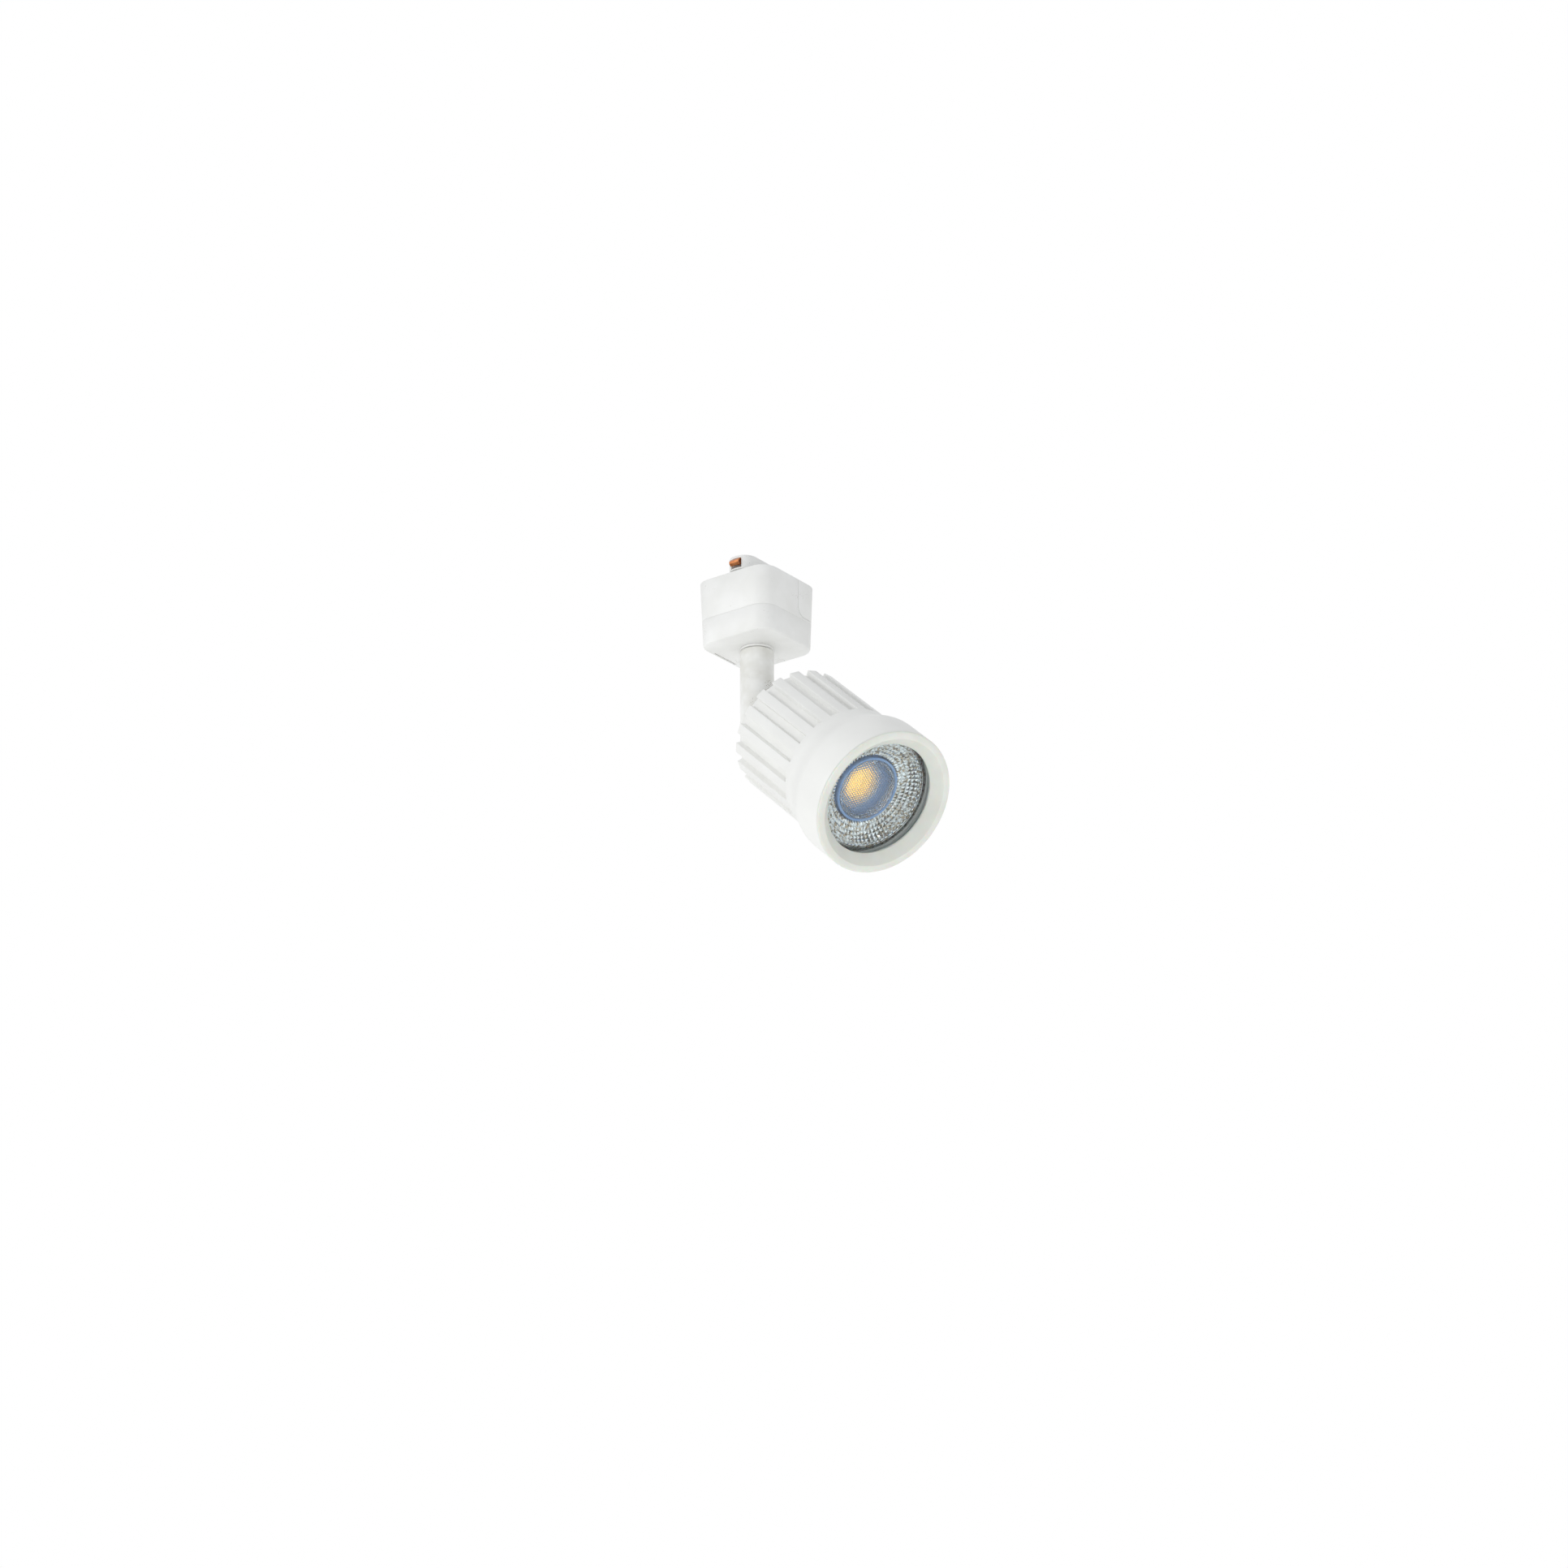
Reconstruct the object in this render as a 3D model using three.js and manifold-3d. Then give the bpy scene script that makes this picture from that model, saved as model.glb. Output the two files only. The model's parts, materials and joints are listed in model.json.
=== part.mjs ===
// Track spotlight: a square adapter that locks into a ceiling track, a short swivel stem, and a finned
// lamp head that tilts on a knuckle at the stem's lower end.
// Millimetres, +Z up. The origin is the middle of the adapter's seat face, on the stem's axis. X runs
// along the track.
import * as THREE from "three";
import { mergeVertices } from "three/addons/utils/BufferGeometryUtils.js";
import Module from "manifold-3d";

const wasm = await Module();
wasm.setup();

// ---------------------------------------------------------------- Driving dimensions

const GAP = 0.3; // between seated pieces
const SEAM = 0.2; // hairline between flush covers

// Adapter box. The draft is what each side leans in from the seat face to the underside.
const BOX_LENGTH = 33.6;
const BOX_WIDTH = 33.8;
const BOX_HEIGHT = 25.3;
const BOX_CORNER = 6.6;
const BOX_EDGE_ROUND = 1;
const BOX_WALL = 2.5;
const BOX_FLOOR = 2.2;
const DRAFT_ENDS = 0.6;
const DRAFT_SIDES = 1;

// Top plate and the screws that hold it
const LID_THICKNESS = 2;
const LID_LEDGE = 0.8;
const SCREW_SHANK = 1.3;
const SCREW_HEAD = 2.5;
const SCREW_HEAD_HEIGHT = 1.2;
const SCREW_DEPTH = 12;
const POST_RADIUS = 2.7;
const POST_INSET = 3.7;

// Contact turret, which enters the slot of a 35 mm two-wire track
const SLOT_WIDTH = 12;
const TRACK_LIP = 2.5;
const WING_LENGTH = 26;
const WING_HEIGHT = 5.4;
const TURRET_FLANGE = 8;
const TURRET_FLANGE_THICKNESS = 1.5;
const CONTACT_WIDTH = 4;
const CONTACT_THICKNESS = 0.5;

// Pull-down release latch in the end wall, and its spring
const LATCH_WIDTH = 12.4;
const LATCH_THICKNESS = 1.3;
const LATCH_SLIT = 1;
const LATCH_TRAVEL = 3.2;
const LATCH_ARM_TOP = -3.8;
const LATCH_ARM = 1.7;
const LATCH_KEY_REACH = 9;
const LATCH_KEY_THICKNESS = 2;
const LATCH_KEY_HEIGHT = 2.2;
const SPRING_RADIUS = 1.4;
const SPRING_WIRE = 0.3;
const SPRING_LENGTH = 12;
const SPRING_TURNS = 6;

// Parting line between the box's upper and lower halves, and the hatch in the upper half's far corner
const SPLIT_LEVEL = -15.4;
const HATCH_BOTTOM = -14.2;
const HATCH_EDGE = 3.6;
const HATCH_CORNER = 4;
const HATCH_WRAP = 3.8;
const HATCH_SKIN = 1.3;

// Terminal block
const TERMINAL_SIZE = [6, 12, 6];
const TERMINAL_TOP = -9.8;
const SHELF_THICKNESS = 1.7;
const LEAD_RADIUS = 0.8;

// Stem, its bush and the stack that holds it
const STEM_RADIUS = 6.3;
const STEM_BORE = 3.2;
const SPIGOT_RADIUS = 4.8;
const SPIGOT_TOP = -15;
const BUSH_LIP = 0.8;
const BUSH_WALL = 0.6;
const WASHER_THICKNESS = 1;
const WASHER_RADIUS = 7;
const STOP_TAB_REACH = 9.2;
const STOP_TAB_WIDTH = 2.4;
const STOP_POST_RADIUS = 0.9;
const STOP_POST_PLACE = 8.3;
const NUT_ACROSS_FLATS = 14;
const NUT_HEIGHT = 3.5;

// Tilt knuckle
const PIVOT_DROP = 60;
const FORK_BELOW_PIVOT = 5.5;
const SLOT_ABOVE_PIVOT = 7;
const LUG_THICKNESS = 4.6;
const LUG_RADIUS = 5.4;
const FRICTION_WASHER = 0.5;
const BOLT_RADIUS = 2;
const BOLT_HEAD_RADIUS = 3.1;
const BOLT_HEAD_HEIGHT = 0.9;
const CHEEK_SEAT = 4.9; // from the middle of the fork to the flat under the bolt's head

// Rest pose of the head, in degrees
const PAN_AT_REST = -11.8;
const TILT_AT_REST = 41.4;

// Lamp head. Stations along the lamp's axis are counted forwards from the pivot.
const LUG_REACH = 17.76;
const AXIS_RISE = 9.98;
const HEAD_LENGTH = 63.2;
const COLLAR_LENGTH = 3.6;
const FLARE_LENGTH = 10.5;
const BELL_LENGTH = 13.9; // from the flare to the rim
const RIB_LENGTH = HEAD_LENGTH - COLLAR_LENGTH - FLARE_LENGTH - BELL_LENGTH;
const RIB_COUNT = 20;
const RIB_TURN = 12; // degrees, of the ribs about the lamp's axis
const RIB_TIP_RADIUS = 24.4;
const RIB_DEPTH = 2.2;
const RIB_WIDTH = 3.9;
const RIB_ROUND = 0.7;
const BELL_RADIUS = RIB_TIP_RADIUS + 2.9;
const BODY_WALL = 2.2;
const BULKHEAD_THICKNESS = 5.5;
const BULKHEAD_SETBACK = 0.9;
const RIM_SEAT_WALL = 1.8;

// Bezel, front glass and its gasket
const BEZEL_LIP = 1.2;
const BEZEL_LIP_WIDTH = 2.2;
const BEZEL_FRONT_RADIUS = BELL_RADIUS - 0.5;
const FUNNEL_DEPTH = 3.5;
const OPENING_RADIUS = BELL_RADIUS - 6.1;
const BEZEL_BACK = 0.8;
const GLASS_THICKNESS = 2;
const GASKET_THICKNESS = 0.7;
const GASKET_WIDTH = 2;
const SEAT_LEDGE = 3;

// Reflector and the honeycomb lens in its middle
const REFLECTOR_MOUTH = OPENING_RADIUS - 0.8;
const REFLECTOR_WALL = 0.9;
const DISH_SETBACK = 0.8; // of the dish's inner edge behind the lens's front
const LENS_RADIUS = 11.2;
const LENS_SETBACK = 11.75;
const LENS_THICKNESS = 5.6;
const LENS_CUP_WALL = 0.9;

// Light source on the bulkhead
const PAD_THICKNESS = 0.4;
const LED_BOARD = 18;
const LED_BOARD_THICKNESS = 1.2;
const PHOSPHOR_RADIUS = 5.4;
const PHOSPHOR_THICKNESS = 0.6;
const HOLDER_THICKNESS = 2.2;
const HOLDER_RADIUS = LENS_RADIUS + 3.3;
const HOLDER_WINDOW = 6.2;
const HOLDER_SCREW_PLACE = 10.4;

// Driver, in a plastic liner behind the bulkhead
const LINER_WALL = 1.3;
const BOARD_THICKNESS = 1.6;
const BOARD_LEVEL = -7;
const BOARD_MARGIN = 1.1;
const RAIL_THICKNESS = 1;

// Rear cap
const CAP_RADIUS = RIB_TIP_RADIUS - RIB_DEPTH - 0.6;
const CAP_FLANGE = 2;
const CAP_NOSE = 4.6;
const CAP_WALL = 2.2;
const CAP_SCREW_PLACE = CAP_RADIUS - 4.7;
const CAP_SCREW_COUNT = 3;
const CAP_BOSS_RADIUS = 3.6;
const CAP_BOSS_LENGTH = 6.5;
const GROMMET_RADIUS = 2.2;
const GROMMET_PLACE = LUG_THICKNESS / 2 + GROMMET_RADIUS + 3;
const CAP_NOSE_RADIUS = GROMMET_PLACE + GROMMET_RADIUS + 2.3;

// ---------------------------------------------------------------- Finishes

// How many flats stand for a circle that reaches at least each radius.
const FLATS = [
  { radius: 24, flats: 48 },
  { radius: 9, flats: 36 },
  { radius: 4, flats: 24 },
  { radius: 2.4, flats: 16 },
  { radius: 0, flats: 10 },
];
const WIRE_SIDES = 6;

const FINISHES = {
  whitePaint: { color: 0xf1f1ee, roughness: 0.5, metalness: 0 },
  whitePlastic: { color: 0xf0f0ed, roughness: 0.45, metalness: 0 },
  frostedPlastic: { color: 0xe3e9dc, roughness: 0.35, metalness: 0 },
  clearGlass: { color: 0xdfe6e6, roughness: 0.05, metalness: 0, transparent: true, opacity: 0.3 },
  clearAcrylic: { color: 0xe6eaf0, roughness: 0.08, metalness: 0, transparent: true, opacity: 0.5 },
  brightReflector: { color: 0xc8c8c6, roughness: 0.15, metalness: 1 },
  phosphor: { color: 0xe9b23a, roughness: 0.6, metalness: 0 },
  ceramic: { color: 0xe9e9e6, roughness: 0.5, metalness: 0 },
  copper: { color: 0xb87345, roughness: 0.3, metalness: 1 },
  steel: { color: 0xb6b8bb, roughness: 0.35, metalness: 1 },
  greySilicone: { color: 0x9a9d9c, roughness: 0.7, metalness: 0 },
  blackPlastic: { color: 0x2a2b2d, roughness: 0.5, metalness: 0 },
  circuitBoard: { color: 0x2f6a44, roughness: 0.5, metalness: 0 },
  yellowTape: { color: 0xd9b02f, roughness: 0.5, metalness: 0 },
  redSleeve: { color: 0xa8322a, roughness: 0.5, metalness: 0 },
  blackSleeve: { color: 0x202122, roughness: 0.5, metalness: 0 },
  brownSleeve: { color: 0x6b3f24, roughness: 0.5, metalness: 0 },
  blueSleeve: { color: 0x2c5c9c, roughness: 0.5, metalness: 0 },
};

// ---------------------------------------------------------------- Solids

const AXES = {
  x: new THREE.Vector3(1, 0, 0),
  y: new THREE.Vector3(0, 1, 0),
  z: new THREE.Vector3(0, 0, 1),
};

// Turns a shape drawn in its own plane, with its thickness along Z, so the thickness runs along an axis.
const FACING = {
  x: new THREE.Matrix4().makeBasis(AXES.y, AXES.z, AXES.x),
  y: new THREE.Matrix4().makeBasis(AXES.x, AXES.z, AXES.y.clone().negate()),
  z: new THREE.Matrix4(),
};

function signedVolume(points, triangles) {
  const [a, b, c] = [new THREE.Vector3(), new THREE.Vector3(), new THREE.Vector3()];
  let volume = 0;
  for (let i = 0; i < triangles.length; i += 3) {
    a.fromArray(points, triangles[i] * 3);
    b.fromArray(points, triangles[i + 1] * 3);
    c.fromArray(points, triangles[i + 2] * 3);
    volume += a.dot(b.cross(c)) / 6;
  }
  return volume;
}

// A closed three.js geometry as a solid that can be joined and cut.
function solid(geometry) {
  const bare = new THREE.BufferGeometry();
  bare.setAttribute("position", geometry.getAttribute("position"));
  if (geometry.index) {
    bare.setIndex(geometry.index);
  }
  const merged = mergeVertices(bare, 1e-4);
  const points = Float32Array.from(merged.getAttribute("position").array);
  const corners = Array.from(merged.index.array);
  const kept = [];
  for (let i = 0; i < corners.length; i += 3) {
    const [a, b, c] = corners.slice(i, i + 3);
    if (a !== b && b !== c && c !== a) {
      kept.push(a, b, c);
    }
  }
  if (signedVolume(points, kept) < 0) {
    kept.reverse();
  }
  const mesh = new wasm.Mesh({ numProp: 3, vertProperties: points, triVerts: Uint32Array.from(kept) });
  return new wasm.Manifold(mesh);
}

function joined(first, ...others) {
  return others.reduce((whole, other) => whole.add(other), first);
}

function cut(first, ...others) {
  return others.reduce((whole, other) => whole.subtract(other), first);
}

// A flat outline given a thickness along an axis. The outline of an x prism is drawn in Y and Z, and
// that of a y prism in X and Z.
function prism(shape, axis, start, end) {
  const options = { depth: end - start, bevelEnabled: false, curveSegments: 6 };
  const geometry = new THREE.ExtrudeGeometry(shape, options);
  geometry.translate(0, 0, axis === "y" ? -end : start);
  geometry.applyMatrix4(FACING[axis]);
  return solid(geometry);
}

function block([x0, x1], [y0, y1], [z0, z1]) {
  const geometry = new THREE.BoxGeometry(x1 - x0, y1 - y0, z1 - z0);
  geometry.translate((x0 + x1) / 2, (y0 + y1) / 2, (z0 + z1) / 2);
  return solid(geometry);
}

// A solid of revolution. Each point of the profile is [station along the axis, radius].
function turned(profile, axis, at = [0, 0, 0]) {
  const points = profile.map(([station, radius]) => new THREE.Vector2(radius, station));
  if (profile.every(([, radius]) => radius > 0)) {
    points.push(points[0].clone());
  }
  const reach = Math.max(...profile.map(([, radius]) => radius));
  const { flats } = FLATS.find(({ radius }) => reach >= radius);
  const geometry = new THREE.LatheGeometry(points, flats);
  if (axis === "x") {
    geometry.rotateZ(-Math.PI / 2);
  }
  if (axis === "z") {
    geometry.rotateX(Math.PI / 2);
  }
  geometry.translate(...at);
  return solid(geometry);
}

function rod(axis, start, end, radius, at) {
  return turned([[start, 0], [start, radius], [end, radius], [end, 0]], axis, at);
}

function ring(axis, start, end, inner, outer, at) {
  return turned([[start, inner], [start, outer], [end, outer], [end, inner]], axis, at);
}

// A round wire along a curve.
function wire(curve, radius, steps) {
  const section = outline(polygon(WIRE_SIDES, radius));
  return solid(new THREE.ExtrudeGeometry(section, { steps, extrudePath: curve }));
}

function throughPoints(points) {
  return new THREE.CatmullRomCurve3(points.map((point) => new THREE.Vector3(...point)));
}

function outline(points) {
  return new THREE.Shape(points.map(([across, up]) => new THREE.Vector2(across, up)));
}

function polygon(sides, radius) {
  return Array.from({ length: sides }, (_, i) => {
    const angle = (i * 2 * Math.PI) / sides;
    return [radius * Math.cos(angle), radius * Math.sin(angle)];
  });
}

function hexagon(acrossFlats) {
  return outline(polygon(6, acrossFlats / Math.sqrt(3)));
}

// A rounded rectangle's corner points, anticlockwise.
function roundedRectangle(length, width, corner) {
  const perCorner = 6;
  const points = [];
  const centres = [[1, 1], [-1, 1], [-1, -1], [1, -1]];
  centres.forEach(([sideX, sideY], quarter) => {
    for (let i = 0; i <= perCorner; i += 1) {
      const angle = ((quarter + i / perCorner) * Math.PI) / 2;
      const x = sideX * (length / 2 - corner) + corner * Math.cos(angle);
      const y = sideY * (width / 2 - corner) + corner * Math.sin(angle);
      points.push([x, y]);
    }
  });
  return points;
}

// A box with rounded upright corners, skinned over levels of { z, length, width, corner }.
function roundedBox(levels) {
  const rings = levels.map(({ z, length, width, corner }) =>
    roundedRectangle(length, width, corner).map(([x, y]) => [x, y, z]));
  const count = rings[0].length;
  const positions = [...rings.flat(), [0, 0, levels[0].z], [0, 0, levels.at(-1).z]];
  const bottomCentre = rings.length * count;
  const topCentre = bottomCentre + 1;
  const triangles = [];
  for (let i = 0; i < count; i += 1) {
    const next = (i + 1) % count;
    triangles.push(bottomCentre, next, i);
    const top = (rings.length - 1) * count;
    triangles.push(topCentre, top + i, top + next);
    for (let level = 0; level < rings.length - 1; level += 1) {
      const low = level * count;
      const high = low + count;
      triangles.push(low + i, low + next, high + next, low + i, high + next, high + i);
    }
  }
  const geometry = new THREE.BufferGeometry();
  geometry.setAttribute("position", new THREE.Float32BufferAttribute(positions.flat(), 3));
  geometry.setIndex(triangles);
  return solid(geometry);
}

function straightBox(length, width, corner, bottom, top) {
  return roundedBox([bottom, top].map((z) => ({ z, length, width, corner })));
}

function piece(name, shape, finish) {
  const { vertProperties, triVerts } = shape.getMesh();
  const geometry = new THREE.BufferGeometry();
  geometry.setAttribute("position", new THREE.BufferAttribute(vertProperties, 3));
  geometry.setIndex(new THREE.BufferAttribute(triVerts, 1));
  geometry.computeVertexNormals();
  const mesh = new THREE.Mesh(geometry, new THREE.MeshStandardMaterial(FINISHES[finish]));
  mesh.name = name;
  return mesh;
}

function degrees(angle) {
  return THREE.MathUtils.degToRad(angle);
}

// ---------------------------------------------------------------- Adapter

const FLOOR_TOP = -BOX_HEIGHT + BOX_FLOOR;
const CAVITY_LENGTH = BOX_LENGTH - 2 * BOX_WALL;
const CAVITY_WIDTH = BOX_WIDTH - 2 * BOX_WALL - DRAFT_SIDES;
const CAVITY_CORNER = BOX_CORNER - BOX_WALL;
const POSTS = [[1, 1], [-1, -1]].map(([sideX, sideY]) => [
  sideX * (CAVITY_LENGTH / 2 - POST_INSET),
  sideY * (CAVITY_WIDTH / 2 - POST_INSET),
]);
const BUSH_RADIUS = SPIGOT_RADIUS + GAP + BUSH_WALL;
const LATCH_INNER = -(BOX_LENGTH / 2 - DRAFT_ENDS - LATCH_THICKNESS);
const LATCH_CUT = LATCH_INNER + LATCH_SLIT - GAP;
const GUIDE_TOP = LATCH_ARM_TOP - LATCH_ARM - LATCH_TRAVEL - 2 * GAP;
const SPRING_CENTRE = LATCH_CUT + 0.5 + SPRING_RADIUS + SPRING_WIRE + GAP;
const SPRING_TOP = LATCH_ARM_TOP - LATCH_ARM - GAP;
const GUIDE_INNER = SPRING_CENTRE + SPRING_RADIUS + SPRING_WIRE + GAP + 0.6;

// The outside of the box, or a surface set in from it by the same depth all round.
function boxSurface(inset) {
  const level = (z, roundInset) => {
    const lean = -z / BOX_HEIGHT;
    return {
      z,
      length: BOX_LENGTH - 2 * (DRAFT_ENDS * lean + inset + roundInset),
      width: BOX_WIDTH - 2 * (DRAFT_SIDES * lean + inset + roundInset),
      corner: BOX_CORNER - inset - roundInset,
    };
  };
  const bottom = -BOX_HEIGHT;
  return roundedBox([
    level(bottom, BOX_EDGE_ROUND),
    level(bottom + 0.3 * BOX_EDGE_ROUND, 0.3 * BOX_EDGE_ROUND),
    level(bottom + BOX_EDGE_ROUND, 0),
    level(0, 0),
  ]);
}

// A slab that covers the whole box in plan.
function slab(bottom, top) {
  return block([-BOX_LENGTH, BOX_LENGTH], [-BOX_WIDTH, BOX_WIDTH], [bottom, top]);
}

// The hatch's outline, with one rounded lower corner, carried through the end wall.
function hatchRegion(grow) {
  const near = HATCH_EDGE - grow;
  const bottom = HATCH_BOTTOM - grow;
  const shape = new THREE.Shape();
  shape.moveTo(near, 1);
  shape.lineTo(near, bottom + HATCH_CORNER);
  shape.absarc(near + HATCH_CORNER, bottom + HATCH_CORNER, HATCH_CORNER, Math.PI, Math.PI * 1.5);
  shape.lineTo(BOX_WIDTH, bottom);
  shape.lineTo(BOX_WIDTH, 1);
  return prism(shape, "x", BOX_LENGTH / 2 - HATCH_WRAP - grow, BOX_LENGTH);
}

// The box's four walls with the latch's guide behind the slot in one end, from the seat face down.
function hollowBox() {
  const cavity = straightBox(CAVITY_LENGTH, CAVITY_WIDTH, CAVITY_CORNER, FLOOR_TOP, 1);
  const half = LATCH_WIDTH / 2;
  const guide = block([-CAVITY_LENGTH / 2 - 0.5, GUIDE_INNER], [-half - 2, half + 2],
    [FLOOR_TOP - 1, GUIDE_TOP]);
  const outside = -BOX_LENGTH;
  const slot = block([outside, LATCH_CUT], [-half - GAP, half + GAP], [-BOX_HEIGHT - 1, 1]);
  const armWindow = block([outside, -CAVITY_LENGTH / 2 + 1], [-half - GAP, half + GAP], [GUIDE_TOP, 1]);
  const springPocket = rod("z", SPRING_TOP - SPRING_LENGTH - GAP, 0,
    SPRING_RADIUS + SPRING_WIRE + GAP, [SPRING_CENTRE, 0, 0]);
  return cut(joined(cut(boxSurface(0), cavity), guide), slot, armWindow, springPocket);
}

// The upper half stands on the lower one and is clamped to it by the top plate.
function adapterShell() {
  const lidLength = CAVITY_LENGTH + 2 * LID_LEDGE;
  const lidWidth = CAVITY_WIDTH + 2 * LID_LEDGE;
  const lidSeat = straightBox(lidLength, lidWidth, CAVITY_CORNER + LID_LEDGE, -LID_THICKNESS - GAP, 1);
  const skinPocket = boxSurface(-1).subtract(boxSurface(HATCH_SKIN + GAP));
  const postRoom = POSTS.map(([x, y]) =>
    rod("z", -BOX_HEIGHT, 1, POST_RADIUS + GAP, [x, y, 0]));
  const upper = hollowBox().intersect(slab(SPLIT_LEVEL + SEAM / 2, 1));
  return cut(upper, lidSeat, skinPocket.intersect(hatchRegion(SEAM)), ...postRoom);
}

// The lower half carries the stem, the terminal block's shelf and the two screw posts.
function adapterBase() {
  const terminal = terminalPlace();
  const shelfTop = terminal.z0 - GAP;
  const shelf = block([terminal.x0 + 1, CAVITY_LENGTH / 2 + 1], [terminal.y0, terminal.y1],
    [shelfTop - SHELF_THICKNESS, shelfTop]);
  const postFoot = FLOOR_TOP - 1;
  const posts = POSTS.map(([x, y]) =>
    rod("z", postFoot, -LID_THICKNESS - GAP, POST_RADIUS, [x, y, 0]));
  const screwHoles = POSTS.map(([x, y]) =>
    rod("z", -SCREW_DEPTH - GAP, 0, SCREW_SHANK + GAP, [x, y, 0]));
  const stopPost = rod("z", postFoot, FLOOR_TOP + WASHER_THICKNESS + 2 * GAP, STOP_POST_RADIUS,
    [-STOP_POST_PLACE, 0, 0]);
  const stemHole = rod("z", -BOX_HEIGHT - 1, FLOOR_TOP + 1, BUSH_RADIUS + GAP);
  const lower = hollowBox().intersect(slab(-BOX_HEIGHT - 1, SPLIT_LEVEL - SEAM / 2));
  return cut(joined(lower, shelf, stopPost, ...posts), stemHole, ...screwHoles);
}

function adapterLid() {
  const length = CAVITY_LENGTH + 2 * (LID_LEDGE - GAP);
  const width = CAVITY_WIDTH + 2 * (LID_LEDGE - GAP);
  const plate = straightBox(length, width, CAVITY_CORNER + LID_LEDGE - GAP, -LID_THICKNESS, 0);
  const turretHole = rod("z", -LID_THICKNESS - 1, 1, SLOT_WIDTH / 2 - GAP);
  const keyHalf = LATCH_WIDTH / 2;
  const keyHole = block(
    [-LATCH_KEY_REACH - LATCH_KEY_THICKNESS - GAP, -LATCH_KEY_REACH + GAP],
    [-keyHalf, keyHalf],
    [-LID_THICKNESS - 1, 1],
  );
  const screwSeats = POSTS.flatMap(([x, y]) => [
    rod("z", -SCREW_HEAD_HEIGHT - GAP, 1, SCREW_HEAD + GAP, [x, y, 0]),
    rod("z", -LID_THICKNESS - 1, 0, SCREW_SHANK + GAP, [x, y, 0]),
  ]);
  return cut(plate, turretHole, keyHole, ...screwSeats);
}

function lidScrew([x, y]) {
  const profile = [
    [-SCREW_DEPTH, 0],
    [-SCREW_DEPTH + SCREW_SHANK, SCREW_SHANK],
    [-SCREW_HEAD_HEIGHT, SCREW_SHANK],
    [-SCREW_HEAD_HEIGHT, SCREW_HEAD],
    [-0.1, SCREW_HEAD],
    [-0.1, 0],
  ];
  const body = turned(profile, "z", [x, y, 0]);
  const arm = SCREW_HEAD * 0.65;
  const deep = -SCREW_HEAD_HEIGHT * 0.7;
  return cut(
    body,
    block([x - arm, x + arm], [y - 0.35, y + 0.35], [deep, 1]),
    block([x - 0.35, x + 0.35], [y - arm, y + arm], [deep, 1]),
  );
}

const NECK_RADIUS = SLOT_WIDTH / 2 - 2 * GAP;
const WING_BOTTOM = TRACK_LIP + GAP;
const WING_TOP = WING_BOTTOM + WING_HEIGHT;
const CONTACT_POCKET = 4.5;

// The wings lie across the track when the adapter is locked in it.
function contactTurret() {
  const flangeTop = -LID_THICKNESS - GAP;
  const flange = rod("z", flangeTop - TURRET_FLANGE_THICKNESS, flangeTop, TURRET_FLANGE);
  const neck = rod("z", flangeTop - 1, WING_BOTTOM + 1, NECK_RADIUS);
  const wings = straightBox(2 * NECK_RADIUS, WING_LENGTH, NECK_RADIUS - 0.2, WING_BOTTOM, WING_TOP);
  const half = CONTACT_WIDTH / 2 + GAP;
  const inner = WING_LENGTH / 2 - CONTACT_POCKET;
  const outer = WING_LENGTH;
  const pocketZ = [WING_BOTTOM + 0.6, WING_TOP - 1];
  return cut(
    joined(flange, neck, wings),
    block([-half, half], [inner, outer], pocketZ),
    block([-half, half], [-outer, -inner], pocketZ),
  );
}

// A copper leaf that springs out of the wing's end and bears on the track's conductor.
function contactLeaf(side) {
  const back = WING_LENGTH / 2 - CONTACT_POCKET + GAP;
  const tip = WING_LENGTH / 2 + 1.2;
  const top = WING_TOP - 1 - GAP;
  const thick = CONTACT_THICKNESS;
  const points = [
    [back, top],
    [tip - 1, top],
    [tip, top - 1],
    [tip, top - 1.9],
    [tip - 0.9, top - 2.7],
    [tip - 1.2, top - 2.3],
    [tip - thick, top - 1.6],
    [tip - thick, top - 1.2],
    [tip - 1.2, top - thick],
    [back, top - thick],
  ];
  const shape = outline(points.map(([across, up]) => [side * across, up]));
  return prism(shape, "x", -CONTACT_WIDTH / 2, CONTACT_WIDTH / 2);
}

function releaseLatch() {
  const half = LATCH_WIDTH / 2;
  const front = block([-BOX_LENGTH, LATCH_INNER], [-half, half], [-BOX_HEIGHT - 1, -GAP]);
  const keyEnd = -LATCH_KEY_REACH;
  const arm = block([LATCH_INNER - 0.5, keyEnd], [-half, half], [LATCH_ARM_TOP - LATCH_ARM, LATCH_ARM_TOP]);
  const keyHalf = half - GAP;
  const key = block([keyEnd - LATCH_KEY_THICKNESS, keyEnd], [-keyHalf, keyHalf],
    [LATCH_ARM_TOP - LATCH_ARM, LATCH_KEY_HEIGHT]);
  return joined(boxSurface(0).intersect(front), arm, key);
}

class Helix extends THREE.Curve {
  getPoint(t, target = new THREE.Vector3()) {
    const angle = t * SPRING_TURNS * Math.PI * 2;
    const radius = SPRING_RADIUS - SPRING_WIRE / 2;
    const length = SPRING_LENGTH - 2 * SPRING_WIRE;
    const z = SPRING_TOP - SPRING_LENGTH + SPRING_WIRE + t * length;
    return target.set(SPRING_CENTRE + radius * Math.cos(angle), radius * Math.sin(angle), z);
  }
}

function terminalPlace() {
  const [length, width, height] = TERMINAL_SIZE;
  const x1 = CAVITY_LENGTH / 2 - GAP;
  const y1 = HATCH_EDGE - 0.6;
  return { x0: x1 - length, x1, y0: y1 - width, y1, z0: TERMINAL_TOP - height, z1: TERMINAL_TOP };
}

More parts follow.
